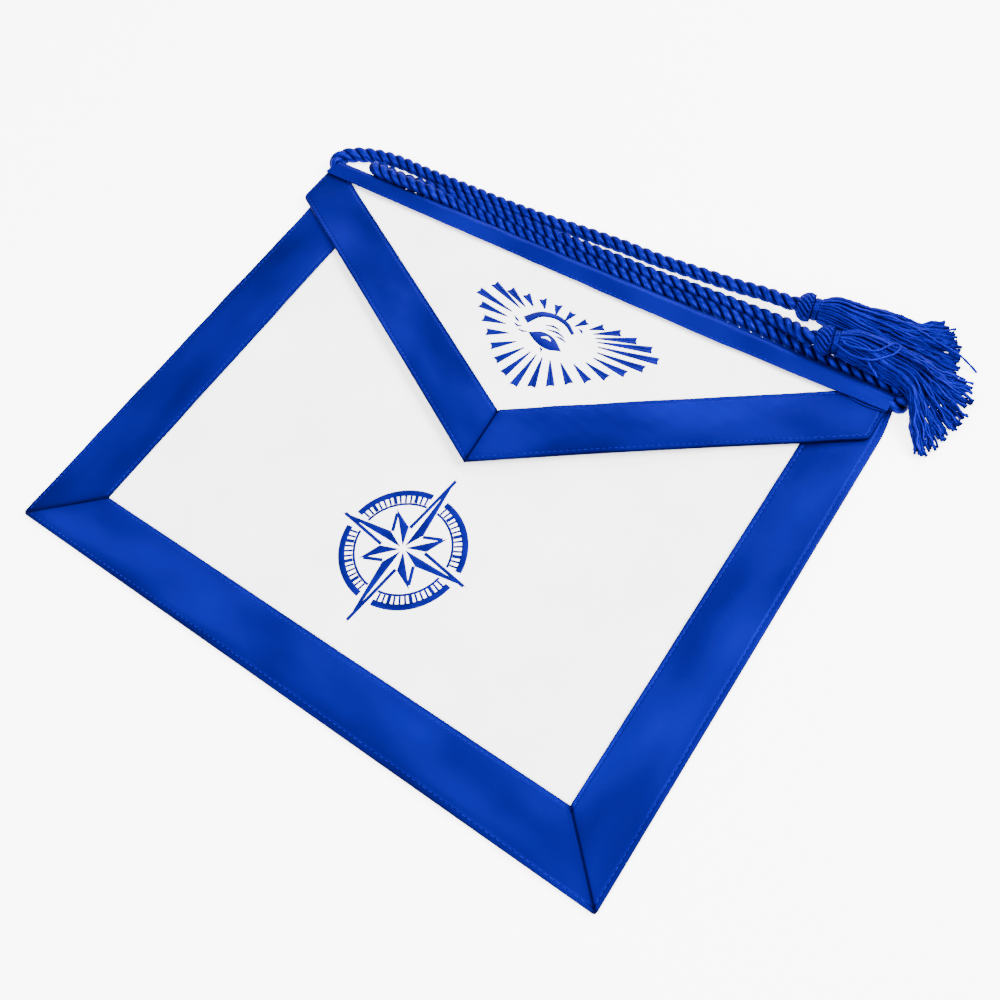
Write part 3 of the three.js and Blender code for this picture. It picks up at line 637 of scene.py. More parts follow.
class Ribbon:
    """A ribbon between an outer and an inner line of as many points: it lies on the cloth, is turned down
    over the cloth's edge, and is sewn along both edges; dusk is painted shade over all its satin, for how the
    light falls along its threads, and roll is painted shade where it rolls towards its outer edge"""

    def __init__(self, outer, inner, seat, thickness, lift, seed, creases, stitches, dusk, roll):
        self.outer, self.seat, self.thickness, self.lift = outer, seat, thickness, lift
        self.seed, self.creases, self.dusk, self.roll = seed, creases, dusk, roll
        self.outer_stitch, self.inner_stitch = stitches
        self.widths = np.linalg.norm(inner - outer, axis=1)
        self.across = unit(inner - outer)
        middle = (outer + inner) / 2
        self.along = lengths(middle)
        self.direction = unit(middle[-1] - middle[0])

    def top(self, station, inwards):
        """Height of the ribbon's face over the cloth's underside"""
        width, along = self.widths[station], self.along[station]
        x, y = self.outer[station] + self.across[station] * inwards
        sewn = (bell(inwards - self.outer_stitch, OUTER_DIP_REACH)
                + bell(width - self.inner_stitch - inwards, INNER_DIP_REACH))
        pucker = math.sin(math.tau * along / PUCKER_LENGTH + 2 * math.sin(along * 91 + self.seed))
        near = bell(min(inwards, width - inwards), PUCKER_REACH)
        crease = sum(bell(along - end * self.along[-1], CREASE_WIDTH) for end in self.creases)
        return (self.seat + self.thickness - STITCH_DIP * sewn + PUCKER * pucker * near
                - CREASE_DEPTH * crease + waves(x, y, *LONG_WAVES, self.seed)
                + waves(x, y, *SHORT_WAVES, self.seed + 1))

    def hollow(self, station, inwards):
        """How much painted shade a place of the face gets: all over, where the satin rolls, in a crease,
        along a row of stitches and at the turn of an edge
        """
        width, along = self.widths[station], self.along[station]
        x, y = self.outer[station]
        roll = self.roll * np.clip(ROLL_MEAN + waves(x, y, *ROLL_PATCHES, self.seed + 2, 3), 0, 1)
        roll_width = ROLL_WIDTH + waves(x, y, *ROLL_WAVES, self.seed + 3, 3)
        marks = (self.dusk + bell(inwards - self.outer_stitch, *OUTER_STITCH_MARK)
                 + bell(width - self.inner_stitch - inwards, *INNER_STITCH_MARK)
                 + bell(inwards, *OUTER_EDGE_MARK) + bell(width - inwards, *INNER_EDGE_MARK)
                 + bell(inwards, roll_width, roll))
        for end in self.creases:
            away = along - end * self.along[-1]
            marks = marks + bell(away, *CREASE_MARK) + bell(away, *CREASE_HALO)
        return marks

    def section(self, station):
        """Places inwards and heights, from the outer lower edge over the face and back underneath"""
        width = self.widths[station]
        turn = np.radians(np.linspace(180, 90, 6))
        outer_top = self.top(station, EDGE_RADIUS)
        points = [(CHAMFER[0], 0.0), (0.0, CHAMFER[1]), (0.0, outer_top - EDGE_RADIUS)]
        points += [(EDGE_RADIUS * (1 + math.cos(a)), outer_top - EDGE_RADIUS * (1 - math.sin(a)))
                   for a in turn[1:]]
        edge = self.thickness / 2
        inner = width - edge
        face = np.concatenate([np.linspace(EDGE_RADIUS, OUTER_STRIP, 10)[1:],
                               np.linspace(OUTER_STRIP, inner - INNER_STRIP, 16)[1:],
                               np.linspace(inner - INNER_STRIP, inner, 11)[1:]])
        points += [(s, self.top(station, s)) for s in face]
        inner_top = self.top(station, inner)
        points += [(inner + edge * math.sin(a), inner_top - edge * (1 - math.cos(a)))
                   for a in np.radians([45, 90, 135, 180])]
        low = self.seat
        points += [(width * 0.6, low), (width * 0.25, low), (self.thickness + INNER_CHAMFER[0], low),
                   (self.thickness, low - INNER_CHAMFER[1]), (self.thickness, 0.0)]
        return np.array(points)

    def build(self, name):
        rings, uvs, hollows = [], [], []
        sideways = left_of(self.direction)
        for station in range(len(self.outer)):
            section = self.section(station)
            plan = self.outer[station] + self.across[station] * section[:, :1]
            height = self.lift(plan[:, 0], plan[:, 1]) + section[:, 1]
            hollows.append(self.hollow(station, section[:, 0]))
            rings.append(np.column_stack([plan, height]))
            uvs.append(np.column_stack([plan @ self.direction, plan @ sideways + section[:, 1]]))
        shape = Shape()
        clockwise = np.cross(self.direction, self.across[len(self.across) // 2]) > 0
        shape.loft(np.array(rings), uv=np.array(uvs), flip=bool(clockwise), hollow=np.array(hollows))
        for inwards in (self.outer_stitch, -self.inner_stitch):
            stitch_line(blue_stitches, self.line(inwards))
        return shape.piece(name + "_ribbon", SATIN, "satin_ribbon", name)

    def line(self, inwards):
        """A line along the face, at a distance from the outer edge, or from the inner one if negative"""
        places = []
        for station in range(1, len(self.outer) - 1):
            place = inwards if inwards > 0 else self.widths[station] + inwards
            x, y = self.outer[station] + self.across[station] * place
            places.append((x, y, float(self.lift(x, y)) + self.top(station, place)))
        return np.array(places)


NEAR = 12
NEAR_REACH = 0.006


def stations(start, end, count):
    """Places from one point to another, closer together near both"""
    start, end = np.array(start, float), np.array(end, float)
    length = np.linalg.norm(end - start)
    near = np.linspace(0, NEAR_REACH, NEAR + 1) / length
    middle = np.linspace(near[-1], 1 - near[-1], count)
    share = np.concatenate([near[:-1], middle, 1 - near[-2::-1]])[:, None]
    return start + (end - start) * share


def flat_lift(x, y):
    return np.zeros_like(np.asarray(x, float))


OVERLAP = 0.0002
LENGTHWISE = 130
TOP_DRAW = 0.0022
TOP_DRAW_LENGTH = 0.018
TOP_TUCK = 0.0021
# How much painted shade each ribbon gets by its outer edge, where the satin rolls
HEM_ROLL = 0.75
SIDE_ROLL = 0.2
FLAP_ROLL = 0.35


def round_corner(line, corner, inward):
    """Bends the end of a ribbon's outer line on to a round of the mitred corner"""
    corner, inward = np.array(corner, float), np.array(inward, float)
    along = unit(line[len(line) // 2] - corner)
    for k, point in enumerate(line):
        distance = np.linalg.norm(point - corner)
        if distance < CORNER_ROUND:
            turn = math.pi / 4 * (1 - distance / CORNER_ROUND)
            line[k] = (corner + along * CORNER_ROUND * (1 - math.sin(turn))
                       + inward * CORNER_ROUND * (1 - math.cos(turn)))
    return line


def lap(line, ends):
    """Lets a ribbon's line run a little into the next ribbon, so that the seam has no slit"""
    middle = line[len(line) // 2]
    for end in ends:
        line[end] += unit(line[end] - middle) * OVERLAP
    return line


def drawn_in(y):
    """How far the right edge is drawn in towards its top"""
    return TOP_DRAW * np.maximum(1 - (cloth_top(HALF) - y) / TOP_DRAW_LENGTH, 0) ** 1.5


def make_body_ribbons():
    corners = {-1: ((-HALF, 0), (-HALF + LEFT_BORDER, HEM_BORDER)),
               1: ((HALF, 0), (HALF - RIGHT_BORDER, HEM_BORDER))}
    (left, inner_left), (right, inner_right) = corners[-1], corners[1]
    outer = stations(left, right, LENGTHWISE + 40)
    for corner in (left, right):
        outer = round_corner(outer, corner, (0, 1))
    inner = stations(inner_left, inner_right, LENGTHWISE + 40)
    made = [Ribbon(lap(outer, (0, -1)), lap(inner, (0, -1)), RIBBON_SEAT, RIBBON, flat_lift, 11, (0, 1),
                   BODY_STITCHES, 0.0, HEM_ROLL).build("hem_band")]
    # The side bands get painted shade all over, for how the light falls along their threads
    for side, name, seed, dusk in ((-1, "side_band_left", 21, 0.28), (1, "side_band_right", 31, 0.1)):
        corner, inner_corner = corners[side]
        outer = stations(corner, (corner[0], cloth_top(corner[0])), LENGTHWISE)
        outer = round_corner(outer, corner, (-side, 0))
        if side > 0:
            outer[:, 0] -= drawn_in(outer[:, 1])
            outer[:, 1] += TOP_TUCK * np.linspace(0, 1, len(outer)) ** 8
        inner = stations(inner_corner, (inner_corner[0], cloth_top(inner_corner[0])), LENGTHWISE)
        made.append(Ribbon(lap(outer, (0,)), lap(inner, (0,)), RIBBON_SEAT, RIBBON, flat_lift, seed, (0,),
                           BODY_STITCHES, dusk, SIDE_ROLL).build(name))
    return made


LEFT_ALONG, RIGHT_ALONG = unit(LEFT_CORNER - TIP), unit(RIGHT_CORNER - TIP)
HALF_ANGLE = math.acos(float(LEFT_ALONG @ RIGHT_ALONG)) / 2
INNER_TIP = TIP + unit(LEFT_ALONG + RIGHT_ALONG) * FLAP_BORDER / math.sin(HALF_ANGLE)


def make_flap_ribbon(corner, along, name, seed, dusk):
    """The outer line turns up the flap's short end in a round corner, and the inner one ends at the seam"""
    shift = OVERLAP / math.sin(HALF_ANGLE)
    start, inner_start = TIP - along * shift, INNER_TIP - along * shift
    side = np.sign(corner[0] - TIP[0])
    reach = (cloth_top(inner_start[0]) - inner_start[1]) / (along[1] - along[0] * SEAM_SLOPE)
    inner_end = inner_start + along * (reach - CORNER_RADIUS)
    inner_last = inner_end + np.array([1, SEAM_SLOPE]) * side * CORNER_RADIUS
    inner_last[1] = cloth_top(inner_last[0])
    before = corner - along * CORNER_RADIUS
    after = corner + np.array([0, CORNER_RADIUS])
    top = np.array([corner[0], cloth_top(corner[0])])
    share = np.linspace(0, 1, 9)[1:, None]
    arc = before * (1 - share) ** 2 + corner * 2 * share * (1 - share) + after * share**2
    outer = np.vstack([stations(start, before, LENGTHWISE), arc,
                       after + (top - after) * np.linspace(0, 1, 14)[1:, None]])
    rest = len(outer) - LENGTHWISE - 2 * NEAR
    inner = np.vstack([stations(inner_start, inner_end, LENGTHWISE),
                       inner_end + (inner_last - inner_end) * np.linspace(0, 1, rest + 1)[1:, None]])
    return Ribbon(outer, inner, FLAP_CLOTH + GAP, FLAP_RIBBON, flap_lift, seed, (0,), FLAP_STITCHES,
                  dusk, FLAP_ROLL).build(name)


# White cloth
EDGE_INSET = RIBBON + GAP
FLAP_INSET = FLAP_RIBBON + GAP


def make_cloth(name, x, y, top, bottom, replaced):
    """A sheet of white cloth between two heights, over a grid of places"""
    shape = Shape()
    shape.sheet(np.stack([x, y, top], 2), np.stack([x, y, bottom], 2))
    return shape.piece(name, WHITE_CLOTH, "white_cloth", replaced)


def make_panel():
    left, right = -HALF + EDGE_INSET, HALF - EDGE_INSET
    share = np.linspace(0, 1, 120)[:, None]
    x = left + (right - left) * share * np.ones(90)
    y = EDGE_INSET + (cloth_top(x) - EDGE_INSET) * np.linspace(0, 1, 90)
    x = x - drawn_in(y) * share
    return make_cloth("apron_cloth", x, y, panel_surface(x, y), 0 * x, "apron_panel")


def make_flap():
    steepest = math.atan2(*(RIGHT_CORNER - TIP)[::-1])
    inset = FLAP_INSET / math.cos(steepest)
    left = np.linspace(FLAP_LEFT + CORNER_RADIUS, TIP[0], 70)
    right = np.linspace(TIP[0], FLAP_RIGHT - CORNER_RADIUS, 70)
    x = np.concatenate([left, right[1:]])[:, None] * np.ones(60)
    low = flap_edge(x) + inset
    y = low + (cloth_top(x) - low) * np.linspace(0, 1, 60)
    return make_cloth("flap_cloth", x, y, flap_surface(x, y), flap_lift(x, y), "flap_panel")


# Waistband
CASING_STATIONS = 150
CASING_ROUND = 0.04
HOLE_SIDES = 24
LIP_STITCH = 0.0012
# Soft waves of the lip's edge and of the casing's top, each with its size and depth
LIP_WAVES = (0.03, 0.00012)
CASING_WAVES = (0.022, 0.00025)


def casing_section(reach, lip):
    """The casing's outside, from its lip over the cord and back underneath"""
    edge = CASING_WALL / 2
    to_lip = np.array([-lip + edge - reach, LIP_HEIGHT + CASING_WALL - CASING_RADIUS])
    top = math.atan2(to_lip[1], to_lip[0]) - math.acos(CASING_RADIUS / np.linalg.norm(to_lip))
    bottom = math.asin((LIP_HEIGHT - CASING_RADIUS) / CASING_RADIUS) + math.pi
    middle = np.array([reach, CASING_RADIUS])
    tangent = middle + CASING_RADIUS * np.array([math.cos(top), math.sin(top)])
    lip_top = middle + to_lip
    points = [(-lip + edge * (1 - math.sin(a)), LIP_HEIGHT + edge * (1 - math.cos(a)))
              for a in np.radians([10, 50, 90, 130, 170])]
    points += [lip_top + (tangent - lip_top) * share for share in np.linspace(0, 1, 8)[:-1]]
    angles = np.linspace(top, bottom - math.tau, 34)
    points += [middle + CASING_RADIUS * np.array([math.cos(a), math.sin(a)]) for a in angles]
    return np.array(points)


def make_waistband():
    angles = -circle(HOLE_SIDES)
    around_cord = np.stack([np.cos(angles), np.sin(angles)], 1)
    outside, inside, stitched = [], [], []
    for share in np.linspace(0, 1, CASING_STATIONS):
        reach = CASING_REACH * np.interp(share, CASING_ALONG, CASING_REACHES)
        lip = LIP_REACH * np.interp(share, CASING_ALONG, CASING_LIPS)
        plain = CASING_LEFT + CASING_LENGTH * share
        lip += float(waves(plain, 0, *LIP_WAVES, 41))
        section = casing_section(reach, lip)
        hole = np.array([reach, CASING_RADIUS]) + (CASING_RADIUS - CASING_WALL) * around_cord
        for rings, places in ((outside, section), (inside, hole)):
            start = CASING_LEFT + MOUTH_SLANT * np.maximum(places[:, 0], 0)
            x = start + (CASING_RIGHT - start) * share
            height = places[:, 1].copy()
            if rings is outside:
                raised = np.clip((height - LIP_HEIGHT) / CASING_RADIUS, 0, 1)
                height += raised * waves(x, places[:, 0], *CASING_WAVES, 43)
            rings.append(np.column_stack([x, seam(x) + places[:, 0], height]))
        stitched.append((plain, seam(plain) - lip + LIP_STITCH, LIP_HEIGHT + CASING_WALL))
    outside, inside = np.array(outside), np.array(inside)
    shape = Shape()
    size = (CASING_LENGTH, CASING_ROUND)
    for rings, order in ((outside, 1), (inside, -1)):
        faces, places = grid_faces(*rings.shape[:2], wrap=True)
        shape.add(rings.reshape(-1, 3), faces[:, ::order], (places * size)[:, ::order])
    for row, order in ((0, -1), (-1, 1)):
        ring_end(shape, outside[row], inside[row], order)
    stitch_line(blue_stitches, np.array(stitched)[2:-2])
    return shape.piece("waistband_ribbon", SATIN, "satin_ribbon", "waistband")


def ring_end(shape, outer, inner, order):
    """The flat end, in full painted shade, between an outer and an inner loop of a tube; order, 1 or -1,
    turns its faces
    """
    count = len(outer)
    nearest = [count + int(np.argmin(np.linalg.norm(inner - place, axis=1))) for place in outer]
    for k in range(count):
        after = (k + 1) % count
        face = [k, after, nearest[after]]
        if nearest[k] != nearest[after]:
            face.append(nearest[k])
        shape.faces.append([shape.count + place for place in face[::order]])
        shape.uvs.append(np.zeros((len(face), 2)))
    shape.points.append(np.vstack([outer, inner]))
    shape.hollows.append(np.ones(count + len(inner)))
    shape.count += count + len(inner)


FOLDED_EDGE_START = 0.1765
FOLDED_EDGE_REACH = 0.0016
FOLDED_EDGE_TOP = LIP_HEIGHT - 0.0001
FOLDED_EDGE_BOTTOM = LIP_HEIGHT - 0.0007
FOLDED_EDGE_TUCK = 0.0006


def make_folded_edge():
    """The under layer's folded edge, which shows a little below the lip near the right end"""
    rings = []
    for share in np.linspace(0, 1, 40):
        x = FOLDED_EDGE_START + (CASING_RIGHT - GAP - FOLDED_EDGE_START) * share
        lip = LIP_REACH * float(np.interp(casing_share(x), CASING_ALONG, CASING_LIPS))
        low = lip + FOLDED_EDGE_REACH * math.sin(math.pi * share) ** 0.7
        tucked = FOLDED_EDGE_TUCK - lip
        section = [(-low, FOLDED_EDGE_BOTTOM + 0.00025), (0.0001 - low, FOLDED_EDGE_BOTTOM),
                   (tucked, FOLDED_EDGE_BOTTOM), (tucked, FOLDED_EDGE_TOP),
                   (0.0004 - low, FOLDED_EDGE_TOP), (0.0001 - low, FOLDED_EDGE_TOP - 0.0001)]
        rings.append([(x, seam(x) + s, z) for s, z in section])
    shape = Shape()
    shape.loft(np.array(rings), (0.05, 0.004))
    return shape.piece("waistband_folded_edge", SATIN, "satin_ribbon")


def make_hidden_cord():
    """The stretch of the cord inside the casing"""
    points = [np.array(LEFT_ROUTE[0]) + (2 * GAP, 0, 0)]
    for share in CASING_ALONG[1:-1]:
        x = CASING_LEFT + CASING_LENGTH * share
        points.append(np.array([x, seam(x) + float(casing_middle(x)), CASING_RADIUS]))
    points.append(np.array(RIGHT_ROUTE[0]) - (2 * GAP, 0, 0))
    shape = Shape()
    rope(shape, even(points)[::2], CORD_DIAMETER / 2, 3, ROPE_PITCH, 8)
    return shape.piece("hidden_cord", CORD_SATIN, "cord_satin", "cord_inside")


body_ribbons = make_body_ribbons()
# The right flap band gets painted shade all over, for how the light falls along its threads
left_flap_ribbon = make_flap_ribbon(LEFT_CORNER, LEFT_ALONG, "flap_band_left", 51, 0.0)
right_flap_ribbon = make_flap_ribbon(RIGHT_CORNER, RIGHT_ALONG, "flap_band_right", 61, 0.14)
panel = make_panel()
flap = make_flap()
waistband = make_waistband()
folded_edge = make_folded_edge()
hidden_cord = make_hidden_cord()
stitches = blue_stitches.piece("ribbon_stitches", STITCH_THREAD, "embroidery_thread")


# Tassels
# Shares of the head's length and radius, from the cord to the neck
HEAD_PROFILE = [(0.0, 0.42), (0.05, 0.58), (0.18, 0.76), (0.38, 0.91), (0.62, 1.0), (0.82, 0.98),
                (0.95, 0.88), (1.0, 0.74)]
HEAD_RIBS = 16
RIB_DEPTH = 0.2
RIB_SLANT = -1.0
RIM_PLACE = 0.93
RIM_RADIUS = 0.86
RIM_THICKNESS = 0.0009
RIM_PITCH = 0.0036
NECK_SINK = 0.0012
NECK_ROUNDS = 5
NECK_GROOVE = 0.0003
NECK_GROOVE_SHARE = 0.06
NECK_SIDES = 48
YARN_RADIUS = 0.0007
YARN_COUNT = 130
YARN_STATIONS = 46
YARN_SIDES = 8
YARN_PLY_PITCH = 0.0055
PLY_DEPTH = 0.16
PLY_SHADE = 0.35
FRAY = 0.25
FRAY_START = 0.97
FRAY_LENGTH = 0.03
# A yarn's short and long wave: their least and greatest lengths, their depth at the neck, and how much is
# added to it by the tip
LEAST_WAVES = (0.012, 0.026)
GREATEST_WAVES = (0.018, 0.045)
WAVE_DEPTHS = (0.00008, 0.0006)
YARN_LOWEST = YARN_RADIUS * 1.1
TIP_LOWEST = YARN_RADIUS * 1.4
TIP_HEIGHT = 0.0036
# Locks: how far yarns crowd together across the fan, and how often
CROWDING = 0.05
LOCKS = 3.5
# Where a yarn bends down to its tip, as a share of its reach, and the share of its last turn made by then
BEND = 0.8
BEND_TURN = 0.62
# How far yarns differ in reach, in degrees at the tip, and in height at the bend
REACH_VARIES = (-0.06, 0.025)
TIP_VARIES = (-2.0, 2.0)
BEND_VARIES = (-0.0006, 0.0006)
# How much painted shade the innermost yarns get, and how much darker some others are
CORE_SHADE = 0.7
YARN_SHADES = (0, 0, 0.15, 0.45)

# The bundle of each skirt at some shares of its length: its turn in degrees, its height as a share of the
# head's radius, and its width and depth as shares of the skirt's
LEFT_CORE = [(0.0, 0, 1.03, 0.7, 0.7), (0.1, 1, 1.08, 1.0, 0.98), (0.3, 0, 0.88, 1.2, 0.8),
             (0.55, 0, 0.64, 1.45, 0.58)]
RIGHT_CORE = [(0.0, 0, 1.9, 0.7, 0.7), (0.1, -2.5, 1.9, 1.0, 0.94), (0.3, -6.5, 1.72, 1.22, 0.7),
              (0.55, -11.5, 1.5, 1.45, 0.5)]
# From one side of the fan to the other: turns halfway and at the tip in degrees, the reach as a share of the
# skirt's length, and the height of the bend as a share of the head's radius
LEFT_FAN = {"middle": [-12, -6, 0, 5, 9, 11], "tip": [-14, -8, -2, 5, 11, 17],
            "reach": [0.95, 1.0, 0.99, 0.96, 0.92, 0.84], "height": [0.3, 0.42, 0.45, 0.42, 0.36, 0.26]}
RIGHT_FAN = {"middle": [-24, -20, -17, -12, -7, -1, 5], "tip": [-43, -37, -29, -21, -13, -4, 5],
             "reach": [0.9, 0.93, 0.93, 0.93, 0.95, 0.93, 0.88],
             "height": [0.85, 0.9, 0.85, 0.8, 0.8, 0.75, 0.65]}


# Strands that lie apart from the rest: a bent one on the skirt, three under the neck, a short one, and some
# that stick out
LEFT_STRAYS = [
    [(0.1900, 0.3765, 0.0075), (0.2044, 0.3759, 0.0050), (0.2139, 0.3753, 0.0035), (0.2197, 0.3747, 0.0025),
     (0.2256, 0.3714, 0.0020), (0.2293, 0.3691, 0.0010)],
]
RIGHT_STRAYS = [
    [(0.1554, 0.3334, 0.0225), (0.1625, 0.3305, 0.0240), (0.1698, 0.3297, 0.0238), (0.1775, 0.3322, 0.0233),
     (0.1845, 0.3382, 0.0225), (0.1876, 0.3453, 0.0215), (0.1882, 0.3501, 0.0208), (0.1850, 0.3508, 0.0212),
     (0.1823, 0.3447, 0.0228), (0.1778, 0.3385, 0.0245), (0.1706, 0.3349, 0.0252), (0.1600, 0.3355, 0.0248)],
    [(0.1500, 0.3466, 0.0012), (0.1558, 0.3434, 0.0010), (0.1600, 0.3408, 0.0010), (0.1760, 0.3340, 0.0020)],
    [(0.1500, 0.3456, 0.0012), (0.1558, 0.3424, 0.0010), (0.1600, 0.3398, 0.0010), (0.1755, 0.3330, 0.0020)],
    [(0.1500, 0.3446, 0.0012), (0.1557, 0.3414, 0.0010), (0.1598, 0.3388, 0.0010), (0.1750, 0.3320, 0.0020)],
    [(0.1745, 0.3340, 0.0222), (0.1791, 0.3300, 0.0205), (0.1823, 0.3281, 0.0195), (0.1854, 0.3271, 0.0180)],
    [(0.1990, 0.3365, 0.0165), (0.2090, 0.3305, 0.0110), (0.2112, 0.3225, 0.0045), (0.2130, 0.3165, 0.0015),
     (0.2155, 0.3140, 0.0010), (0.2180, 0.3128, 0.0010), (0.2206, 0.3088, 0.0010), (0.2236, 0.3037, 0.0010)],
    [(0.1995, 0.3370, 0.0165), (0.2098, 0.3310, 0.0115), (0.2122, 0.3232, 0.0052), (0.2148, 0.3165, 0.0022),
     (0.2172, 0.3122, 0.0012), (0.2192, 0.3084, 0.0010), (0.2210, 0.3045, 0.0010)],
    [(0.2000, 0.3375, 0.0168), (0.2105, 0.3318, 0.0120), (0.2132, 0.3240, 0.0060), (0.2155, 0.3180, 0.0032),
     (0.2185, 0.3135, 0.0025), (0.2218, 0.3078, 0.0020), (0.2245, 0.3060, 0.0012)],
]


def level(turn):
    return np.array([math.cos(turn), math.sin(turn), 0])


def lathe(shape, start, turn, profile, sides, radius_of, groove):
    """A body turned round a level axis; radius_of gives the radius at a place along and round it, and groove
    is the share of the radius sunk in at which the painted shade of a groove is full"""
    along, across = level(turn), level(turn + math.pi / 2)
    up = np.array([0, 0, 1.0])
    angle = circle(sides)
    rings, hollows = [], []
    for place, radius in profile:
        size = radius_of(place, radius, angle)[:, None]
        outwards = np.cos(angle)[:, None] * across + np.sin(angle)[:, None] * up
        rings.append(start + along * place + size * outwards)
        hollows.append((1 - size[:, 0] / radius) / groove)
    length = profile[-1][0] - profile[0][0]
    shape.loft(np.array(rings), (length, math.tau * max(r for _, r in profile)), hollow=np.array(hollows))


def make_head(name, start, turn):
    """A head wound with ribs, and the thin twisted line that binds its rim"""
    shape = Shape()
    curve = smooth_curve([(a * HEAD_LENGTH, r * HEAD_RADIUS, 0) for a, r in HEAD_PROFILE], 5)[:, :2]

    def ribbed(place, radius, angle):
        lobes = np.abs(np.cos(HEAD_RIBS / 2 * (angle + RIB_SLANT * place / HEAD_LENGTH)))
        return radius * (1 - RIB_DEPTH * (1 - lobes) ** 1.4)

    lathe(shape, start, turn, curve, HEAD_RIBS * 8, ribbed, RIB_DEPTH)
    ring = []
    for angle in np.linspace(0, math.tau, 97):
        across = level(turn + math.pi / 2) * math.cos(angle) + np.array([0, 0, 1]) * math.sin(angle)
        ring.append(start + level(turn) * HEAD_LENGTH * RIM_PLACE + across * HEAD_RADIUS * RIM_RADIUS)
    rope(shape, np.array(ring), RIM_THICKNESS, 2, RIM_PITCH, 8)
    return shape.piece(name + "_turban", CORD_SATIN, "cord_satin", name)


def make_neck(name, start, turn):
    """Rounds of thread"""
    shape = Shape()
    curve = [(-NECK_SINK, NECK_RADIUS * 0.7)]
    for share in np.linspace(0, 1, NECK_ROUNDS * 8 + 1):
        curve.append((share * NECK_LENGTH, NECK_RADIUS * (0.9 + 0.1 * min(1, 6 * share, 6 * (1 - share)))))
    curve.append((NECK_LENGTH + NECK_SINK, NECK_RADIUS * 0.75))

    def wound(place, radius, angle):
        rounds = np.abs(np.cos(math.pi * NECK_ROUNDS * place / NECK_LENGTH + angle / 2))
        return radius - NECK_GROOVE * (1 - rounds)

    lathe(shape, start, turn, curve, NECK_SIDES, wound, NECK_GROOVE_SHARE)
    return shape.piece(name + "_binding", CORD_SATIN, "cord_satin", name)


def yarn(shape, points, random, hollow=0.0):
    """One two-ply yarn through the points, with small waves of its own; its painted shade is higher deep
    inside, and more between its plies
    """
    path = resample(smooth_curve(points, 12), YARN_STATIONS)
    share = np.linspace(0, 1, YARN_STATIONS)
    depth = WAVE_DEPTHS[0] + WAVE_DEPTHS[1] * share**1.3
    _, normal, side = carried_frames(path)
    total = lengths(path)[-1]
    for direction, size in ((normal, 1.0), (side, 0.5)):
        for length in random.uniform(LEAST_WAVES, GREATEST_WAVES):
            swing = np.sin(math.tau * share * total / length + random.uniform(0, math.tau))
            path = path + direction * (swing * size * depth)[:, None]
    path[:, 2] = np.maximum(path[:, 2], YARN_LOWEST)
    _, normal, side = carried_frames(path)
    angle = circle(YARN_SIDES)
    turned = math.tau * lengths(path)[:, None] / YARN_PLY_PITCH + random.uniform(0, math.tau)
    lobes = 1 + PLY_DEPTH * np.cos(2 * (angle + turned / 2))
    fray = 1 + FRAY * np.clip((share - FRAY_START) / FRAY_LENGTH, 0, 1)
    # Painted shade between the plies, on top of what the yarn is given
    between = hollow + PLY_SHADE * (1 - (lobes - 1) / PLY_DEPTH) / 2
    tube(shape, path, normal, side, YARN_RADIUS * lobes * fray[:, None], YARN_SIDES, between)


def make_skirt(name, start, turn, core, fan, seed, strays):
    """Yarns that leave the neck as a round bundle, spread into a fan and come down to the surface"""
    random = np.random.default_rng(seed)
    shape = Shape()
    for k in range(YARN_COUNT):
        out, angle = math.sqrt((k + 0.5) / YARN_COUNT), k * math.pi * (3 - math.sqrt(5))
        across, up = out * math.cos(angle), out * math.sin(angle)
        spread = across / math.sqrt(1 - min(up * up, 0.98))
        spread = np.clip(spread + CROWDING * math.sin(math.tau * LOCKS * spread + seed), -1, 1)
        points = []
        for along, bend, high, wide, deep in core:
            heading = turn + math.radians(bend)
            sideways = across + (spread - across) * along / BEND
            room = math.sqrt(max(1 - sideways**2, 0.04))
            lift = up if along < 0.2 else np.clip(up, -room, room)
            place = start + level(heading) * along * SKIRT_LENGTH
            place = place + level(heading + math.pi / 2) * sideways * wide * SKIRT_RADIUS
            place[2] = high * HEAD_RADIUS + lift * deep * SKIRT_RADIUS
            points.append(place)
        column = np.linspace(-1, 1, len(fan["tip"]))
        middle, tip, reach, height = (np.interp(spread, column, fan[key])
                                      for key in ("middle", "tip", "reach", "height"))
        reach = reach * (1 + random.uniform(*REACH_VARIES))
        tip += random.uniform(*TIP_VARIES)
        heading = turn + math.radians(middle + (tip - middle) * BEND_TURN)
        place = start + level(heading) * (BEND * reach) * SKIRT_LENGTH
        place[2] = height * HEAD_RADIUS * (0.95 + 0.35 * up) + random.uniform(*BEND_VARIES)
        points.append(place)
        place = start + level(turn + math.radians(tip)) * reach * SKIRT_LENGTH
        place[2] = TIP_LOWEST + TIP_HEIGHT * (up + 1) / 2 * random.uniform(0.5, 1.0)
        points.append(place)
        # Painted shade, deeper towards the inside of the bundle; some yarns picked at random are darker still
        yarn(shape, points, random, (1 - out) * CORE_SHADE + random.choice(YARN_SHADES))
    for stray in strays:
        yarn(shape, stray, random)
    return shape.piece(name + "_yarns", YARN, "tassel_yarn", name)


def make_tassel(name, route, turn, core, fan, seed, strays):
    head = np.array(route[-1]) + level(turn) * GAP
    neck = head + level(turn) * (HEAD_LENGTH + GAP)
    skirt = neck + level(turn) * (NECK_LENGTH + GAP)
    return [make_head(name + "_head", head, turn), make_neck(name + "_neck", neck, turn),
            make_skirt(name + "_skirt", skirt, turn, core, fan, seed, strays)]


left_tassel = make_tassel("tassel_left", LEFT_ROUTE, LEFT_TURN, LEFT_CORE, LEFT_FAN, 71, LEFT_STRAYS)
right_tassel = make_tassel("tassel_right", RIGHT_ROUTE, RIGHT_TURN, RIGHT_CORE, RIGHT_FAN, 73,
                           RIGHT_STRAYS)


# Embroidery
THREAD_PITCH = 0.00042
THREAD_HEIGHT = 0.00042
THREAD_SINK = 0.0002
LOWER_THREAD = 0.72
FULL_WIDTH = 0.002
EDGE_DROP = 0.85
COLUMN_ROUND = 0.004


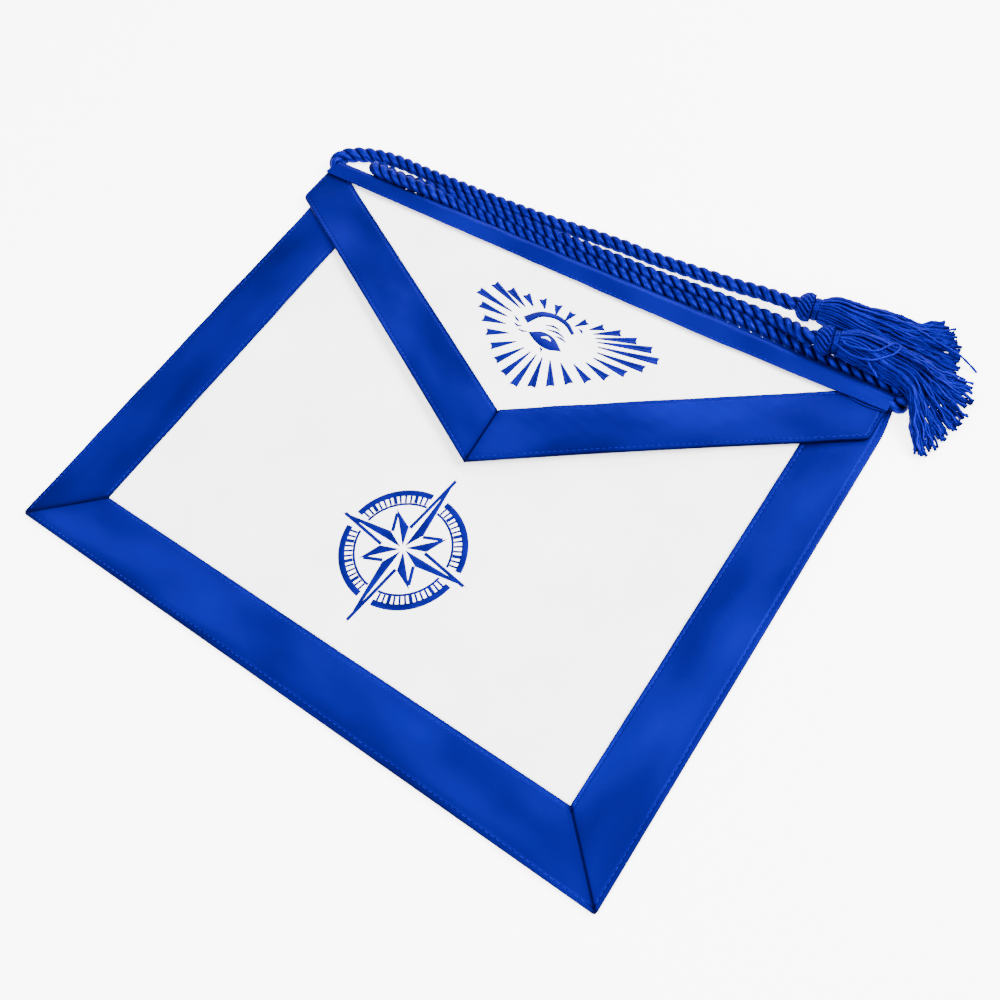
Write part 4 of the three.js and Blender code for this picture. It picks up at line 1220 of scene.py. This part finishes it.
def satin_column(shape, left, right, surface):
    """Threads laid side by side from one line to the other, raised in the middle, every other one lower"""
    left, right = np.array(left, float), np.array(right, float)
    middle = (left + right) / 2
    count = max(int(2 * lengths(middle)[-1] / THREAD_PITCH), 4)
    share = np.linspace(0, 1, len(left))
    places = np.linspace(0, 1, count)
    across = np.linspace(0, 1, 6)
    rings = []
    for k, (a, b) in enumerate(zip(at(left, share, places), at(right, share, places))):
        plan = a + (b - a) * across[:, None]
        width = np.linalg.norm(b - a)
        rise = THREAD_HEIGHT * min(1, width / FULL_WIDTH) * (1.0 if k % 2 else LOWER_THREAD)
        arch = rise * (1 - (2 * across - 1) ** 4 * EDGE_DROP)
        z = surface(plan[:, 0], plan[:, 1])
        face = np.column_stack([plan, z + arch])
        under = np.column_stack([plan[[5, 0]], z[[5, 0]] - THREAD_SINK])
        rings.append(np.vstack([face, under]))
    rings = np.array(rings)
    turned = np.cross(middle[-1] - middle[0], right[0] - left[0] + right[-1] - left[-1]) < 0
    shape.loft(rings, (lengths(middle)[-1], COLUMN_ROUND), flip=not turned)


def arc_line(points):
    """A curve through points in the lay frame"""
    return smooth_curve([(*point, 0) for point in points], 10)[:, :2]


def stroke(shape, points, widths, surface):
    """A drawn line through points, with its widths from end to end"""
    line = arc_line(points)
    direction = unit(np.gradient(line, axis=0))
    sideways = left_of(direction.T).T
    width = np.interp(np.linspace(0, 1, len(line)), np.linspace(0, 1, len(widths)), widths)[:, None]
    satin_column(shape, line + sideways * width / 2, line - sideways * width / 2, surface)


EYE_MIDDLE = np.array([0.004, 0.2655])
RAY_COUNT = 27
RAY_INNER = (0.0315, 0.0178)
RAY_INNER_RISE = 0.12
RAY_OUTLINE = np.array([
    (-0.0555, 0.2735), (-0.0490, 0.2655), (-0.0350, 0.2508), (-0.0160, 0.2340), (0.0020, 0.2232),
    (0.0090, 0.2240), (0.0245, 0.2340), (0.0450, 0.2512), (0.0600, 0.2662), (0.0715, 0.2792),
    (0.0695, 0.2875), (0.0440, 0.2900), (0.0180, 0.2866), (0.0025, 0.2888), (-0.0110, 0.2893),
    (-0.0320, 0.2852), (-0.0510, 0.2830), (-0.0555, 0.2735),
])
RAY_WIDTH = 0.0055
RAY_POINT = 0.0008
RAY_NOTCH = 0.0007
SHORTEST_RAY = 0.0088
EYE_UPPER = [(-0.0095, 0.2612), (-0.0020, 0.2658), (0.0065, 0.2655), (0.0165, 0.2592)]
EYE_LOWER = [(-0.0095, 0.2612), (-0.0010, 0.2572), (0.0075, 0.2560), (0.0165, 0.2592)]
BROW = [(-0.0162, 0.2684), (-0.0107, 0.2766), (-0.0015, 0.2798), (0.0078, 0.2784), (0.0155, 0.2736)]
BROW_WIDTHS = [0.0062, 0.0048, 0.0036, 0.0030, 0.0022]
GLINT = [(0.0, 0.2618), (0.003, 0.2632), (0.0065, 0.2625)]
GLINT_WIDTHS = [0.0006, 0.0018, 0.0008]
LINE_END = 0.0006
# The lines of the lid and lashes, and those round the eye's outer corner, each with its width
EYE_LINES = [
    ([(-0.0030, 0.2712), (0.0020, 0.2728), (0.0068, 0.2722)], 0.0016),
    ([(-0.0008, 0.2686), (0.0057, 0.2699), (0.0124, 0.2688)], 0.0017),
    ([(0.0072, 0.2671), (0.0108, 0.2673), (0.0150, 0.2662)], 0.0015),
    ([(-0.0240, 0.2678), (-0.0212, 0.2662), (-0.0188, 0.2650)], 0.0016),
    ([(-0.0210, 0.2632), (-0.0180, 0.2622), (-0.0152, 0.2632)], 0.0016),
    ([(-0.0160, 0.2602), (-0.0126, 0.2602), (-0.0100, 0.2614)], 0.0014),
    ([(0.0030, 0.2556), (0.0048, 0.2545), (0.0056, 0.2526)], 0.0016),
    ([(0.0163, 0.2790), (0.0184, 0.2784), (0.0202, 0.2768)], 0.0018),
]


def make_eye():
    """A plain eye within rays, in satin stitch; each ray is two columns that leave a notch in its end"""
    shape = Shape()
    for last in resample(RAY_OUTLINE, RAY_COUNT + 1)[1:]:
        direction = unit(last - EYE_MIDDLE)
        start = (1 + RAY_INNER_RISE * direction[1]) / np.linalg.norm(direction / RAY_INNER)
        first = EYE_MIDDLE + direction * min(start, np.linalg.norm(last - EYE_MIDDLE) - SHORTEST_RAY)
        sideways = left_of(direction)
        middle = [first, last - direction * RAY_NOTCH]
        left = [first + sideways * RAY_POINT / 2, last + sideways * RAY_WIDTH / 2]
        right = [first - sideways * RAY_POINT / 2, last - sideways * RAY_WIDTH / 2]
        satin_column(shape, left, middle, flap_surface)
        satin_column(shape, middle, right, flap_surface)
    satin_column(shape, arc_line(EYE_UPPER), arc_line(EYE_LOWER), flap_surface)
    stroke(shape, BROW, BROW_WIDTHS, flap_surface)
    for points, width in EYE_LINES:
        stroke(shape, points, [LINE_END, width, LINE_END], flap_surface)
    piece = shape.piece("flap_embroidery", BLUE_THREAD, "embroidery_thread")
    glint = Shape()

    def over(x, y):
        return flap_surface(x, y) + THREAD_HEIGHT * 0.9

    stroke(glint, GLINT, GLINT_WIDTHS, over)
    return [piece, glint.piece("eye_glint", WHITE_THREAD, "embroidery_thread")]


STAR_MIDDLE = np.array([0.0103, 0.1035])
LONG_POINTS = {0: 0.054, 2: 0.046, 4: 0.054, 6: 0.046}
SHORT_POINT = 0.0262
STAR_NECK = 0.0138
HEART_RADIUS = 0.002
HEART_SIDE = 0.0024
OUTLINE_START = 0.003
OUTLINE_WIDTH = 0.0021
RING_RADIUS = 0.0356
RING_WIDTH = 0.0038
INNER_RING_RADIUS = 0.0284
INNER_RING_WIDTH = 0.0015
TICKS = 64
TICK_WIDTH = 0.0013
LONG_TICK_WIDTH = 0.0022
TICK_GAP = 0.0001
POINT_CLEARANCE = math.radians(7.5)


def around(radius, angle):
    return STAR_MIDDLE + radius * np.array([math.sin(angle), math.cos(angle)])


def ring_arc(shape, radius, width, start, end):
    angles = np.linspace(start, end, 24)
    satin_column(shape, [around(radius + width / 2, a) for a in angles],
                 [around(radius - width / 2, a) for a in angles], panel_surface)


def make_star():
    """A compass star in a graduated ring, in satin stitch; half of each point is only an outline"""
    shape = Shape()
    half_step = math.tau / 16
    for k in range(8):
        angle = 2 * k * half_step
        tip = around(LONG_POINTS.get(k, SHORT_POINT), angle)
        neck = around(STAR_NECK, angle - half_step)
        heading = unit(neck - tip)
        inwards = left_of(heading) * OUTLINE_WIDTH
        outer = [tip + heading * OUTLINE_START, neck]
        satin_column(shape, outer, [point + inwards for point in outer], panel_surface)
        axis = [tip, around(STAR_NECK * math.cos(half_step), angle), around(HEART_RADIUS, angle)]
        side = [tip, around(STAR_NECK, angle + half_step), around(HEART_SIDE, angle + half_step / 2)]
        satin_column(shape, axis, side, panel_surface)
    quarter = math.tau / 4
    for k in range(4):
        start, end = k * quarter + POINT_CLEARANCE, (k + 1) * quarter - POINT_CLEARANCE
        ring_arc(shape, RING_RADIUS, RING_WIDTH, start, end)
        ring_arc(shape, INNER_RING_RADIUS, INNER_RING_WIDTH, start, end)
    for k in range(TICKS):
        angle = k * math.tau / TICKS
        if abs((angle + quarter / 2) % quarter - quarter / 2) < POINT_CLEARANCE:
            continue
        width = TICK_WIDTH if k % 4 else LONG_TICK_WIDTH
        low = around(INNER_RING_RADIUS + INNER_RING_WIDTH / 2 + TICK_GAP, angle)
        high = around(RING_RADIUS - RING_WIDTH / 2, angle)
        across = np.array([math.cos(angle), -math.sin(angle)]) * width / 2
        satin_column(shape, [low + across, high + across], [low - across, high - across], panel_surface)
    return [shape.piece("body_embroidery", BLUE_THREAD, "embroidery_thread")]


eye = make_eye()
star = make_star()


# Floor and light
FLOOR_SIZE = 8.0
FLOOR_DROP = 0.0001


def make_floor():
    half = FLOOR_SIZE / 2
    mesh = bpy.data.meshes.new("floor")
    mesh.from_pydata([(-half, -half, -FLOOR_DROP), (half, -half, -FLOOR_DROP), (half, half, -FLOOR_DROP),
                      (-half, half, -FLOOR_DROP)], [], [(0, 1, 2, 3)])
    mesh.materials.append(FLOOR)
    floor = bpy.data.objects.new("floor", mesh)
    bpy.context.scene.collection.objects.link(floor)


def make_area_light(name, place, size, power):
    """A soft square light turned to the apron's middle"""
    data = bpy.data.lights.new(name, "AREA")
    data.size = size
    data.energy = power
    light = bpy.data.objects.new(name, data)
    light.location = place
    light.rotation_euler = (-Vector(place)).to_track_quat("-Z", "Y").to_euler()
    bpy.context.scene.collection.objects.link(light)


def make_sky(strength):
    world = bpy.data.worlds.new("sky")
    world.use_nodes = True
    background = world.node_tree.nodes["Background"]
    background.inputs["Color"].default_value = (1, 1, 1, 1)
    background.inputs["Strength"].default_value = strength
    bpy.context.scene.world = world


make_floor()
make_area_light("key_light", (1.25, 0.9, 1.3), 1.0, 110)
make_area_light("back_light", (-0.55, 1.6, 1.35), 0.8, 42)
make_area_light("fill_light", (-0.2, -1.1, 1.5), 1.2, 60)
make_sky(2.7)
